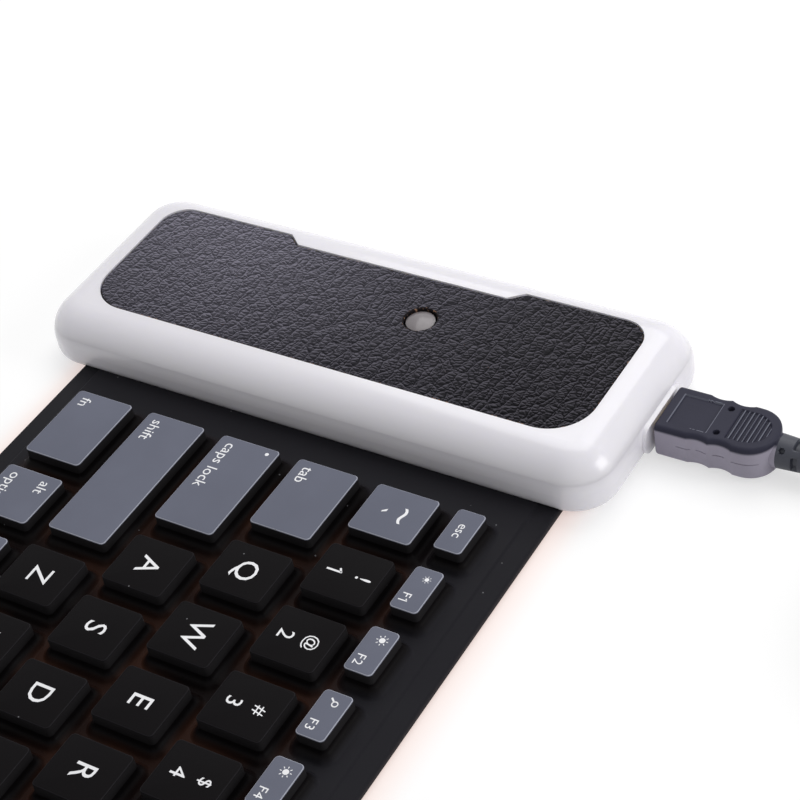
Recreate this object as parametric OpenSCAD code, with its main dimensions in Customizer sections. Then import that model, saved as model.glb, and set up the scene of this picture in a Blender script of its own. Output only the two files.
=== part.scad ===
// Roll-up silicone keyboard with a rigid electronics housing along its left edge.
// Millimetres. +X runs to the user's right, +Y away from the user and +Z up.
// The origin is the middle of the keyboard's width and of the mat's depth, on the surface below.

/* [Mat] */
// Depth of the soft mat, front to back
mat_depth = 104.6; // [100:0.1:110]
// Thickness of the mat between the keys
mat_thickness = 2.0; // [1.7:0.1:2.6]
// Thickness of the lower silicone sheet
base_sheet_thickness = 0.8; // [0.6:0.1:1.0]
// Thickness of the printed circuit film
film_thickness = 0.2; // [0.1:0.05:0.3]
// Width of the bonded border round the film
border_width = 4.0; // [3:0.1:5]
// Width of the groove along the border
groove_width = 0.7; // [0.4:0.1:1]
// Depth of the groove along the border
groove_depth = 0.3; // [0.1:0.1:0.5]
// Radius of the mat's free corners
mat_corner_radius = 6; // [3:0.5:10]
// Mat between the housing and the first key
left_margin = 9.5; // [8:0.1:14]
// Mat between the last key and the right edge
right_margin = 8.1; // [6:0.1:14]

/* [Roll] */
// Mat that stays with the housing when it is rolled up
first_panel_width = 97; // [94:0.5:100]
// Slit between neighbouring panels
fold_slit = 0.3; // [0.3:0.1:0.6]

/* [Keys] */
// Distance between neighbouring letter keys
key_pitch = 15.5; // [15.2:0.1:16.5]
// Distance between neighbouring rows
row_pitch = 16.7; // [16.4:0.1:17.4]
// Width of a letter key's top
key_width = 11.4; // [10.4:0.1:11.8]
// Depth of a letter key's top
key_depth = 12.6; // [11.4:0.1:13]
// Width of a function key's top
function_key_width = 9.9; // [9:0.1:10.4]
// Depth of a function key's top
function_key_depth = 5.5; // [5:0.1:6]
// Distance from the number row to the function row
function_row_pitch = 12.7; // [12.4:0.1:13.4]
// Gap beside a wide key
wide_key_gap = 4.5; // [3.8:0.1:5]
// Height of a key's straight upper part
cap_height = 3.0; // [2.4:0.1:4]
// Height of the sloping web round a key
skirt_height = 1.2; // [1:0.1:1.6]
// Spread of the web round a key
skirt_outset = 1.2; // [1:0.1:1.4]
// Corner radius of a key's top
cap_radius = 1.3; // [0.8:0.1:2]
// Bevel round a key's top
cap_bevel = 0.3; // [0.1:0.1:0.6]
// Wall of a hollow key
cap_wall = 1.1; // [0.8:0.1:1.4]
// Diameter of the contact pillar in a letter key
pillar_diameter = 4.0; // [3:0.1:5]
// Travel of a key
key_travel = 1.2; // [0.8:0.1:1.3]
// Clearance round and under a key that travels
key_clearance = 0.3; // [0.2:0.05:0.4]

/* [Housing] */
// Width of the housing, left to right
housing_width = 46; // [44:0.5:54]
// Length of the housing, front to back
housing_length = 122.8; // [119:0.1:130]
// How far the housing's middle lies in front of the mat's
housing_shift = 0.9; // [0:0.1:2]
// Height of the housing's top above the surface
housing_height = 12; // [11.6:0.1:14]
// Wall of the shells
wall = 1.8; // [1.4:0.1:2.2]
// Floor of the lower shell
floor_thickness = 1.6; // [1.4:0.1:2]
// Corner radius seen from above
housing_radius = 8.5; // [8:0.1:14]
// Radius of the upper shoulder
shoulder_radius = 7; // [6:0.1:8]
// Radius of the lower edge
heel_radius = 3; // [2.5:0.1:3.5]
// Height of the joint between the shells
split_height = 7.5; // [7.3:0.1:8]
// Depth of the mat's tongue inside the housing
tongue_depth = 6; // [5:0.5:7]
// Width of the bar that clamps the tongue
clamp_width = 3.4; // [2.5:0.1:3.6]
// Height of that bar
clamp_height = 2.4; // [2:0.1:3]

/* [Leather inlay] */
// Thickness of the leather
inlay_thickness = 0.8; // [0.5:0.1:1.2]
// How far the leather lies below the housing's top
inlay_sink = 0.2; // [0:0.1:0.4]
// Shell left of the inlay
inlay_rim_left = 6; // [5:0.1:8]
// Shell right of the inlay
inlay_rim_right = 8; // [7:0.1:10]
// Shell in front of the inlay
inlay_rim_front = 7.4; // [5:0.1:9]
// Shell behind the inlay
inlay_rim_back = 7.9; // [7:0.1:10]
// Radius of the two corners beside the mat
inlay_near_radius = 8.5; // [6:0.1:10]
// Radius of the two outer corners
inlay_far_radius = 5.5; // [4:0.1:8]
// Depth of the step in the inlay's outer edge
notch_depth = 2.5; // [1.5:0.1:4]
// Length of that step along its floor
notch_length = 47; // [30:0.5:60]
// Length of each slope at the ends of the step
notch_slope = 3; // [2:0.1:6]
// Gap round the inlay
inlay_gap = 0.1; // [0.05:0.05:0.2]

/* [Indicator] */
// Diameter of the indicator window
lens_diameter = 5.6; // [4:0.1:7]
// Rise of its dome
lens_rise = 0.5; // [0.3:0.1:0.8]
// Distance of the indicator from the housing's right side
lens_from_right = 26.5; // [24:0.5:28]
// Distance of the indicator behind the mat's middle
lens_y = 10.8; // [4:0.1:16]
// Hole in the leather round it
lens_hole_gap = 0.4; // [0.2:0.1:0.8]

/* [Charging socket] */
// Distance of the socket from the housing's right side
socket_from_right = 25.5; // [23:0.5:27]
// Height of the socket's axis
socket_height = 4.5; // [4.4:0.1:4.6]
// Length of the socket's metal shell
socket_length = 9.2; // [8:0.1:11]
// Wall of that shell
socket_wall = 0.35; // [0.25:0.05:0.45]
// Running clearance round the plug
plug_clearance = 0.09; // [0.05:0.01:0.1]
// Width of the raised collar round the socket
collar_width = 16; // [14:0.1:18]
// Height of that collar
collar_height = 5.8; // [5.4:0.1:6]
// Collar proud of the housing's end
collar_proud = 0.5; // [0.3:0.1:1]

/* [Plug] */
// Depth that it reaches into the socket
plug_reach = 6.0; // [5:0.1:6.5]
// Wall of the metal plug
plug_wall = 0.3; // [0.2:0.05:0.35]
// Width of the plug's grip
grip_width = 11.6; // [10:0.1:13]
// Thickness of the plug's grip
grip_height = 7.0; // [6.4:0.1:7.4]
// Length of the plug's grip
grip_length = 21.2; // [18:0.1:24]
// Gap between the collar and the grip
grip_gap = 0.65; // [0.4:0.05:1]
// Number of ribs on the grip
grip_ribs = 9; // [5:1:11]

/* [Cord] */
// Diameter of the charging cord
cord_diameter = 3.5; // [3:0.1:3.5]
// Diameter of the coil at the middle of its turns
coil_diameter = 41; // [38:0.5:42]
// Bare gap between neighbouring turns
coil_gap = 0.5; // [0.45:0.05:0.8]

/* [Inside] */
// Gap between the battery and the shell's outer wall
battery_side_gap = 4.2; // [3.4:0.1:6]
// Gap between the battery and the circuit board
battery_end_gap = 6.1; // [3:0.1:10]
// Gap between the mat's tongue and what lies beside it
tongue_gap = 2.0; // [1.5:0.1:4]
// Thickness of the battery
battery_thickness = 5.0; // [4:0.1:5.4]
// Thickness of the circuit board
board_thickness = 1.0; // [0.8:0.1:1.2]
// Length of the circuit board
board_length = 53; // [50:0.5:53]
// Travel of the power switch
switch_travel = 2.5; // [1.5:0.1:3]
// Diameter of the rubber feet
foot_diameter = 8; // [6:0.5:9]
// Feet proud of the lower shell
foot_proud = 0.3; // [0.3:0.1:0.4]
// Shank diameter of the screws
screw_diameter = 2.0; // [1.6:0.1:2.2]

/* [Hidden] */
$fn = 48;
touch = 0.01;
body_gap = 0.3;
// Panels that roll up, and the standard mini plug's metal part
rolling_panels = 4;
plug_width = 6.8;
plug_height = 3.0;
// Turns in the coil: whole turns and a quarter, so that it ends at its far side
coil_turns = 4.25;

// ---- the mat and the rows of keys
key_gap = key_pitch - key_width;
field_width = 14 * key_pitch + key_width;
mat_width = left_margin + field_width + right_margin;
overall_width = housing_width + mat_width;
left_end = -overall_width / 2;
right_end = overall_width / 2;
joint_x = left_end + housing_width;
field_left = joint_x + left_margin;
film_top = base_sheet_thickness + film_thickness;
skirt_top = mat_thickness + skirt_height;
key_top = skirt_top + cap_height;
cap_bottom = film_top + key_clearance + key_travel;
field_depth = key_depth / 2 + 4 * row_pitch + function_row_pitch + function_key_depth / 2;
bottom_row_y = key_depth / 2 - field_depth / 2;
function_key_pitch = (field_width - function_key_width) / 15;
film_depth = mat_depth - 2 * border_width;
cap_roof = 1.4;
skirt_lip = 0.35;
skirt_radius = cap_radius + skirt_outset / 2;

// How far each letter row starts from the left edge of the keys
number_start = key_pitch;
q_start = 21.6;
a_start = 27.2;
z_start = 36.7;
letter_starts = [z_start, a_start, q_start, number_start];
letter_counts = [10, 11, 12, 12];
// Bottom row, from the left: width of each key up to the space bar
fn_width = 17.6;
modifier_width = 11.9;
arrow_start = 12 * key_pitch;
arrow_depth = (key_depth - 1.5) / 2;
arrow_shift = (key_depth - arrow_depth) / 2;

// A key is [left edge from the field's left, row height from the bottom row, width, depth]
function letter_row(row) = let(
    start = letter_starts[row - 1],
    count = letter_counts[row - 1],
    row_y = row * row_pitch,
    first_gap = row == 4 ? key_gap : wide_key_gap,
    last_left = start + count * key_pitch
) concat(
    [[0, row_y, start - first_gap, key_depth]],
    [for (i = [0:count - 1]) [start + i * key_pitch, row_y, key_width, key_depth]],
    [[last_left, row_y, field_width - last_left, key_depth]]
);
function_row = [for (i = [0:15])
    [i * function_key_pitch, 4 * row_pitch + function_row_pitch, function_key_width, function_key_depth]];
option_left = fn_width + key_gap;
command_left = option_left + modifier_width + key_gap;
control_left = command_left + modifier_width + key_gap;
space_left = control_left + fn_width + key_gap;
right_option_left = arrow_start - key_gap - modifier_width;
right_command_left = right_option_left - key_gap - fn_width;
space_width = right_command_left - key_gap - space_left;
bottom_row = [
    [0, 0, fn_width, key_depth],
    [option_left, 0, modifier_width, key_depth],
    [command_left, 0, modifier_width, key_depth],
    [control_left, 0, fn_width, key_depth],
    [space_left, 0, space_width, key_depth],
    [right_command_left, 0, fn_width, key_depth],
    [right_option_left, 0, modifier_width, key_depth],
    [arrow_start, 0, key_width, key_depth],
    [arrow_start + key_pitch, arrow_shift, key_width, arrow_depth],
    [arrow_start + key_pitch, -arrow_shift, key_width, arrow_depth],
    [arrow_start + 2 * key_pitch, 0, key_width, key_depth]
];
rows = [bottom_row, letter_row(1), letter_row(2), letter_row(3), letter_row(4), function_row];

// Keys that travel on their own: each row's first keys, named from the left
key_names = [
    ["key_fn", "key_option", "key_command"],
    ["key_shift", "key_z", "key_x"],
    ["key_caps", "key_a", "key_s", "key_d"],
    ["key_tab", "key_q", "key_w", "key_e", "key_r"],
    ["key_grave", "key_1", "key_2", "key_3", "key_4"],
    ["key_esc", "key_f1", "key_f2", "key_f3", "key_f4"]
];
function moving_count(row) = len(key_names[row]);

// ---- the panels that roll up
rolling_width = (right_end - joint_x - first_panel_width) / rolling_panels;
function fold_x(i) = joint_x + first_panel_width + i * rolling_width;
function panel_left(i) = i == 0 ? joint_x : fold_x(i - 1) + fold_slit / 2;
function panel_right(i) = i == rolling_panels ? right_end : fold_x(i) - fold_slit / 2;
function panel_of(x) = x < fold_x(0) ? 0 : min(rolling_panels, 1 + floor((x - fold_x(0)) / rolling_width));
function key_middle(key) = field_left + key[0] + key[2] / 2;

// ---- the housing
collar_face = (housing_length + collar_proud) / 2 - housing_shift;
housing_back = collar_face - collar_proud;
housing_front = housing_back - housing_length;
housing_middle_y = (housing_back + housing_front) / 2;
housing_middle_x = left_end + housing_width / 2;
floor_top = foot_proud + floor_thickness;
cavity_top = housing_height - inlay_sink - inlay_thickness - 1.4;
inlay_bottom = housing_height - inlay_sink - inlay_thickness;
inlay_left = left_end + inlay_rim_left;
inlay_right = joint_x - inlay_rim_right;
inlay_front = housing_front + inlay_rim_front;
inlay_back = housing_back - inlay_rim_back;
notch_shift = 1.15;
notch_y = (inlay_front + inlay_back) / 2 + notch_shift;
lens_x = joint_x - lens_from_right;
lens_flange = 1.0;
socket_x = joint_x - socket_from_right;
collar_bottom = socket_height - collar_height / 2;
collar_radius = 2.6;
boss_diameter = 5.6;
screw_inset = 8;
screw_hole_gap = 0.2;
screw_head_diameter = 3.8;
screw_head_height = 1.2;
screw_head_z = 1.0;
screw_reach = 3.4;
screw_places = [for (x = [left_end + screw_inset, joint_x - screw_inset],
    y = [housing_front + screw_inset, housing_back - screw_inset]) [x, y]];
foot_inset_x = 12;
foot_inset_y = 18;
foot_sink = 0.8;
foot_places = [for (x = [left_end + foot_inset_x, joint_x - foot_inset_x],
    y = [housing_front + foot_inset_y, housing_back - foot_inset_y]) [x, y]];

// ---- inside the housing
board_bottom = socket_height - board_thickness / 2 - 0.4;
board_top = board_bottom + board_thickness;
board_back = housing_back - wall - 1.5;
board_front = board_back - board_length;
board_left = left_end + wall + 3.2;
board_right = joint_x - tongue_depth - tongue_gap;
board_corner = 4;
can_from_left = 12;
can_from_front = 24;
crystal_from_right = 10;
crystal_from_front = 10;
board_post_diameter = 3;
board_post_inset = 3;
board_post_back = 10;
battery_left = left_end + wall + battery_side_gap;
battery_width = board_right - battery_left;
battery_x = (battery_left + board_right) / 2;
battery_front = housing_front + wall + screw_inset + 0.8;
battery_back = board_front - battery_end_gap;
battery_length = battery_back - battery_front;
battery_corner = 2;
tail_width = 12;
tail_y = 26;
tail_x = joint_x - tongue_depth - 1.2;
tail_rise = 1.0;
tail_top = board_top + tail_rise;
connector_depth = 4.5;
connector_height = 2.0;
connector_wall = 1.5;
connector_inset = 0.3;
switch_from_front = 20;
switch_y = board_front + switch_from_front;
switch_axis_z = board_top + 1.1;
switch_slot_height = 1.8;
knob_height = 1.2;
knob_width = 3.0;
switch_body_depth = 4;
switch_body_length = 9;
switch_body_height = 2.4;
scoop_radius = 14;
scoop_depth = 0.9;

// ---- the plug and its cord
socket_mouth = collar_face - 0.2;
tongue_thickness = 0.9;
tongue_width = 4.2;
tongue_length = 5.0;
socket_back_wall = 1.5;
grip_front = collar_face + grip_gap;
grip_back = grip_front + grip_length;
grip_radius = 1.6;
shell_in_grip = 3;
relief_length = 12;
relief_slots = 4;
relief_radius = 3.1;
relief_tip_radius = 2.4;
relief_end = grip_back + relief_length;
cord_radius = cord_diameter / 2;
coil_step = cord_diameter + coil_gap;
coil_layer = cord_diameter + coil_gap;
coil_low = cord_radius + 0.1;
coil_start_radius = coil_diameter / 2 + coil_step * coil_turns / 4;
coil_x = socket_x + coil_start_radius;
coil_y = 132;
plug_a_width = 15.6;
plug_a_height = 7.6;
plug_a_length = 20;
plug_a_axis_z = plug_a_height / 2 + 0.1;
plug_a_shell_width = 12;
plug_a_shell_height = 4.5;
plug_a_shell_length = 12;
plug_a_corner = 0.4;
plug_a_inner_corner = 0.3;
plug_a_relief = 8;
tail_run = 15.2;
coil_end_y = coil_y + coil_start_radius;
plug_a_x = coil_x + cord_diameter + tail_run;

// Route of the free stretch from the plug down to the coil, measured from the relief's end
lead_route = [
    [0, 0, 4.5], [0, 3.5, 4.5], [0, 7, 4.35], [0, 11, 3.9], [0, 15, 3.3], [0, 19, 2.7],
    [0, 23, 2.25], [0, 27, 1.95], [0, 31, 1.85]
];
lead_end = coil_y - cord_diameter;
// Route of the short stretch from the coil down to the far plug, measured from the coil
tail_route = [[0, 0, 5.85], [3, 0, 5.85], [6, 0, 5.45], [9, 0, 4.6], [12.2, 0, 3.9]];

// ======== shared shapes

module rounded_square(width, depth, radius) {
    square([width - 2 * radius, depth], center = true);
    square([width, depth - 2 * radius], center = true);
    for (x = [-1, 1], y = [-1, 1])
        translate([x * (width / 2 - radius), y * (depth / 2 - radius)])
            circle(r = radius);
}

module plate(width, depth, radius, bottom, top) {
    translate([0, 0, bottom])
        linear_extrude(top - bottom)
            rounded_square(width, depth, radius);
}

module box(low, high) {
    translate(low)
        cube(high - low);
}

function side_outline(half, steps) = concat(
    [for (s = steps) [half + s[0], s[1]]],
    [for (i = [len(steps) - 1:-1:0]) [-half - steps[i][0], steps[i][1]]]
);

// A rounded block whose sides follow steps of [outset, height] on all four sides
module profiled_block(width, depth, radius, steps) {
    spread = max([for (s = steps) s[0]]);
    reach = 2 * (width + depth);
    intersection() {
        rotate([90, 0, 0])
            linear_extrude(reach, center = true)
                polygon(side_outline(width / 2, steps));
        rotate([90, 0, 90])
            linear_extrude(reach, center = true)
                polygon(side_outline(depth / 2, steps));
        plate(width + 2 * spread, depth + 2 * spread, radius, steps[0][1], steps[len(steps) - 1][1]);
    }
}

// ======== keys

module at_key(key) {
    translate([field_left + key[0] + key[2] / 2, bottom_row_y + key[1], 0])
        children();
}

module skirt(key) {
    steps = [[skirt_outset, mat_thickness], [skirt_lip, skirt_top]];
    profiled_block(key[2], key[3], skirt_radius, steps);
}

module cap(key, bottom) {
    steps = [[0, bottom], [0, key_top - cap_bevel], [-cap_bevel, key_top]];
    profiled_block(key[2], key[3], cap_radius, steps);
}

module moving_key(key) {
    inner_width = key[2] - 2 * cap_wall;
    inner_depth = key[3] - 2 * cap_wall;
    pillar = min(pillar_diameter, inner_depth - 0.8);
    at_key(key) {
        difference() {
            cap(key, cap_bottom);
            plate(inner_width, inner_depth, cap_radius / 2, cap_bottom - touch, key_top - cap_roof);
        }
        translate([0, 0, cap_bottom])
            cylinder(d = pillar, h = key_top - cap_roof - cap_bottom + touch);
    }
}

module key_well(key) {
    at_key(key)
        plate(key[2] + 2 * key_clearance, key[3] + 2 * key_clearance,
            cap_radius + key_clearance, 0, skirt_top + touch);
}

// ======== the mat's three layers

module mat_outline(left, right) {
    round_right = right == right_end;
    difference() {
        translate([left, -mat_depth / 2])
            square([right - left, mat_depth]);
        if (round_right)
            for (y = [-1, 1])
                translate([right, y * mat_depth / 2])
                    square(2 * mat_corner_radius, center = true);
    }
    if (round_right)
        for (y = [-1, 1])
            translate([right - mat_corner_radius, y * (mat_depth / 2 - mat_corner_radius)])
                circle(r = mat_corner_radius);
}

module film_outline(left, right, grow) {
    round_right = right == right_end;
    stop = round_right ? right - border_width : right;
    translate([left, -film_depth / 2 - grow])
        square([stop - left + (round_right ? grow : 0), film_depth + 2 * grow]);
}

module key_sheet(panel) {
    left = panel == 0 ? joint_x - tongue_depth : panel_left(panel);
    right = panel_right(panel);
    groove_y = mat_depth / 2 - border_width;
    color([0.13, 0.12, 0.13])
    difference() {
        union() {
            translate([0, 0, film_top])
                linear_extrude(mat_thickness - film_top)
                    mat_outline(left, right);
            for (row = [0:len(rows) - 1], i = [0:len(rows[row]) - 1]) {
                key = rows[row][i];
                moves = i < moving_count(row);
                if (panel_of(key_middle(key)) == panel) {
                    at_key(key)
                        skirt(key);
                    if (!moves)
                        at_key(key)
                            cap(key, mat_thickness);
                }
            }
        }
        if (panel == 0)
            for (row = [0:len(rows) - 1], i = [0:moving_count(row) - 1])
                key_well(rows[row][i]);
        // keys that overhang a fold stand clear of the next panel
        if (panel < rolling_panels)
            box([right, -mat_depth, 0], [right + key_pitch * 4, mat_depth, mat_thickness + body_gap]);
        if (panel > 0)
            box([left - key_pitch * 4, -mat_depth, 0], [left, mat_depth, mat_thickness + body_gap]);
        for (y = [-groove_y, groove_y])
            box([panel == 0 ? joint_x + border_width : left - touch, y - groove_width / 2,
                mat_thickness - groove_depth],
                [panel == rolling_panels ? right - border_width : right + touch, y + groove_width / 2,
                mat_thickness + touch]);
        if (panel == rolling_panels)
            box([right - border_width - groove_width / 2, -groove_y, mat_thickness - groove_depth],
                [right - border_width + groove_width / 2, groove_y, mat_thickness + touch]);
    }
}

module circuit_film(panel) {
    left = panel == 0 ? tail_x + film_thickness : panel_left(panel);
    color([0.75, 0.6, 0.4]) {
        translate([0, 0, base_sheet_thickness])
            linear_extrude(film_thickness)
                film_outline(left, panel_right(panel), 0);
        if (panel == 0) {
            box([tail_x, tail_y - tail_width / 2, base_sheet_thickness],
                [left + touch, tail_y + tail_width / 2, film_top]);
            box([tail_x, tail_y - tail_width / 2, base_sheet_thickness],
                [tail_x + film_thickness, tail_y + tail_width / 2, tail_top]);
            box([board_right - connector_depth, tail_y - tail_width / 2, tail_top - film_thickness],
                [tail_x + touch, tail_y + tail_width / 2, tail_top]);
        }
    }
}

module base_sheet(panel) {
    color([0.1, 0.1, 0.11])
    difference() {
        linear_extrude(film_top)
            mat_outline(panel_left(panel), panel_right(panel));
        translate([0, 0, base_sheet_thickness])
            linear_extrude(film_top)
                film_outline(panel_left(panel) - touch, panel_right(panel) + (panel == rolling_panels ? 0 : touch),
                    inlay_gap);
    }
}

// ======== the housing's shells

module edge_profile(plan_radius, top_radius, bottom_radius, bottom, top) {
    square_low = bottom + bottom_radius;
    square_high = top - top_radius;
    translate([0, square_low])
        square([plan_radius, square_high - square_low]);
    translate([0, bottom])
        square([plan_radius - bottom_radius, top - bottom - top_radius]);
    translate([0, square_low])
        square([plan_radius - top_radius, top - square_low]);
    translate([plan_radius - bottom_radius, square_low])
        intersection() {
            circle(r = bottom_radius);
            translate([0, -bottom_radius])
                square(bottom_radius);
        }
    translate([plan_radius - top_radius, square_high])
        intersection() {
            circle(r = top_radius);
            square(top_radius);
        }
}

// A block rounded in plan and along its upper and lower edges, inset by the shell's wall
module housing_block(inset, bottom, top) {
    radius = housing_radius - inset;
    upper = shoulder_radius - inset;
    lower = max(heel_radius - inset, 0.6);
    half_x = housing_width / 2 - housing_radius;
    half_y = (housing_back - housing_front) / 2 - housing_radius;
    translate([housing_middle_x, housing_middle_y, 0]) {
        for (x = [-half_x, half_x], y = [-half_y, half_y])
            translate([x, y, 0])
                rotate_extrude()
                    edge_profile(radius, upper, lower, bottom, top);
        for (turn = [0, 180])
            rotate([0, 0, turn]) {
                translate([half_x, half_y, 0])
                    rotate([90, 0, 0])
                        linear_extrude(2 * half_y)
                            edge_profile(radius, upper, lower, bottom, top);
                translate([-half_x, half_y, 0])
                    rotate([90, 0, 90])
                        linear_extrude(2 * half_x)
                            edge_profile(radius, upper, lower, bottom, top);
            }
        box([-half_x, -half_y, bottom], [half_x, half_y, top]);
    }
}

module inlay_outline(grow) {
    corners = [
        [inlay_left - grow, inlay_front - grow, inlay_far_radius + grow],
        [inlay_left - grow, inlay_back + grow, inlay_far_radius + grow],
        [inlay_right + grow, inlay_front - grow, inlay_near_radius + grow],
        [inlay_right + grow, inlay_back + grow, inlay_near_radius + grow]
    ];
    floor_half = notch_length / 2 - grow;
    difference() {
        translate([inlay_left - grow, inlay_front - grow])
            square([inlay_right - inlay_left + 2 * grow, inlay_back - inlay_front + 2 * grow]);
        for (c = corners)
            translate([c[0], c[1]])
                square(2 * c[2], center = true);
        translate([inlay_left - grow, notch_y])
            polygon([[-1, -floor_half - notch_slope], [0, -floor_half - notch_slope],
                [notch_depth, -floor_half], [notch_depth, floor_half],
                [0, floor_half + notch_slope], [-1, floor_half + notch_slope]]);
    }
    for (c = corners)
        translate([c[0] + (c[0] < housing_middle_x ? c[2] : -c[2]), c[1] + (c[1] < 0 ? c[2] : -c[2])])
            circle(r = c[2]);
}

module leather_inlay() {
    color([0.12, 0.11, 0.11])
    difference() {
        translate([0, 0, inlay_bottom])
            linear_extrude(inlay_thickness)
                inlay_outline(0);
        translate([lens_x, lens_y, inlay_bottom - touch])
            cylinder(d = lens_diameter + 2 * lens_hole_gap, h = inlay_thickness + 2 * touch);
    }
}

module housing_top() {
    color([0.93, 0.94, 0.95])
    difference() {
        union() {
            difference() {
                intersection() {
                    housing_block(0, foot_proud, housing_height);
                    box([left_end - 1, housing_front - 1, split_height], [joint_x + 1, housing_back + 1,
                        housing_height + 1]);
                }
                housing_block(wall, floor_top, cavity_top);
            }
            intersection() {
                housing_block(wall / 2, floor_top, cavity_top + 1);
                for (p = screw_places)
                    translate([p[0], p[1], split_height])
                        cylinder(d = boss_diameter, h = cavity_top - split_height + touch);
            }
        }
        translate([0, 0, inlay_bottom])
            linear_extrude(inlay_thickness + 1)
                inlay_outline(inlay_gap);
        translate([lens_x, lens_y, cavity_top - touch])
            cylinder(d = lens_diameter + 2 * inlay_gap, h = housing_height);
        for (p = screw_places)
            translate([p[0], p[1], split_height - touch])
                cylinder(d = screw_diameter, h = screw_reach);
    }
}

module housing_bottom() {
    color([0.92, 0.93, 0.95])
    difference() {
        union() {
            difference() {
                union() {
                    intersection() {
                        housing_block(0, foot_proud, housing_height);
                        box([left_end - 1, housing_front - 1, 0], [joint_x + 1, housing_back + 1,
                            split_height]);
                    }
                    collar();
                }
                housing_block(wall, floor_top, cavity_top);
            }
            for (p = screw_places)
                translate([p[0], p[1], foot_proud + foot_sink])
                    cylinder(d = boss_diameter, h = split_height - foot_proud - foot_sink);
            for (p = board_posts())
                translate([p[0], p[1], floor_top - touch])
                    cylinder(d = board_post_diameter, h = board_bottom - floor_top + touch);
            for (y = [battery_front - wall - body_gap, battery_back + body_gap])
                box([battery_x - battery_width / 4, y, floor_top - touch],
                    [battery_x + battery_width / 4, y + wall, floor_top + battery_thickness / 2]);
        }
        for (p = screw_places)
            translate([p[0], p[1], -touch]) {
                cylinder(d = screw_diameter + 2 * screw_hole_gap, h = split_height + 1);
                cylinder(d = screw_head_diameter + 2 * screw_hole_gap, h = screw_head_z + screw_head_height + touch);
            }
        for (p = foot_places)
            translate([p[0], p[1], 0])
                cylinder(d = foot_diameter, h = foot_proud + foot_sink);
        // slot for the mat's tongue and its film
        box([joint_x - tongue_depth, -mat_depth / 2, film_top], [joint_x + 1, mat_depth / 2, mat_thickness]);
        box([tail_x, -film_depth / 2, base_sheet_thickness], [joint_x + 1, film_depth / 2, film_top + touch]);
        // slit where the film's tail rises through the floor
        box([tail_x - inlay_gap, tail_y - tail_width / 2 - inlay_gap, base_sheet_thickness],
            [tail_x + film_thickness + inlay_gap, tail_y + tail_width / 2 + inlay_gap, floor_top + touch]);
        // opening for the socket
        translate([socket_x, socket_mouth - socket_length, socket_height])
            rotate([-90, 0, 0])
                linear_extrude(socket_length + 1)
                    mini_outline(plug_clearance + socket_wall + inlay_gap);
        // slot and finger scoop for the power switch
        box([left_end - 1, switch_y - knob_width / 2 - switch_travel / 2 - body_gap,
            switch_axis_z - switch_slot_height / 2],
            [board_left + touch, switch_y + knob_width / 2 + switch_travel / 2 + body_gap,
            switch_axis_z + switch_slot_height / 2]);
        translate([left_end - scoop_radius + scoop_depth, switch_y, switch_axis_z - switch_slot_height])
            cylinder(r = scoop_radius, h = 2 * switch_slot_height, $fn = 96);
    }
}

module collar() {
    translate([socket_x, 0, socket_height])
        rotate([-90, 0, 0])
            translate([0, 0, housing_back - housing_radius])
                linear_extrude(collar_face - housing_back + housing_radius)
                    rounded_square(collar_width, collar_height, collar_radius);
}

module indicator_lens() {
    lens_top = housing_height - inlay_sink;
    dome_radius = (pow(lens_diameter / 2, 2) + pow(lens_rise, 2)) / (2 * lens_rise);
    color([0.75, 0.75, 0.75])
    translate([lens_x, lens_y, 0]) {
        translate([0, 0, cavity_top - lens_flange])
            cylinder(d = lens_diameter + 2 * lens_flange, h = lens_flange);
        translate([0, 0, cavity_top - touch])
            cylinder(d = lens_diameter, h = lens_top - lens_rise - cavity_top + touch);
        intersection() {
            translate([0, 0, lens_top - dome_radius])
                sphere(r = dome_radius, $fn = 96);
            translate([0, 0, lens_top - lens_rise])
                cylinder(d = lens_diameter, h = lens_rise);
        }
    }
}

module clamp_bar() {
    half = film_depth / 2 - key_gap;
    color([0.25, 0.25, 0.27])
    difference() {
        box([joint_x - tongue_depth, -half, mat_thickness],
            [joint_x - tongue_depth + clamp_width, half, mat_thickness + clamp_height]);
        for (y = [-half / 2, 0, half / 2])
            translate([joint_x - tongue_depth + clamp_width / 2, y, mat_thickness + clamp_height / 2])
                cylinder(d = screw_diameter, h = clamp_height);
    }
}

// ======== inside the housing

function board_posts() = [for (x = [board_left + board_post_inset, board_right - board_post_inset],
    y = [board_front + board_post_inset, board_back - board_post_back]) [x, y]];

module main_board() {
    color([0.1, 0.35, 0.2])
    difference() {
        translate([(board_left + board_right) / 2, (board_front + board_back) / 2, 0])
            plate(board_right - board_left, board_length, board_corner, board_bottom, board_top);
        for (p = screw_places)
            translate([p[0], p[1], board_bottom - touch])
                cylinder(d = boss_diameter + 2 * body_gap, h = board_thickness + 2 * touch);
        box([socket_x - plug_width / 2 - socket_wall - plug_clearance - inlay_gap,
            socket_mouth - socket_length - inlay_gap, board_bottom - touch],
            [socket_x + plug_width / 2 + socket_wall + plug_clearance + inlay_gap, board_back + 1,
            board_top + touch]);
    }
}

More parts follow.
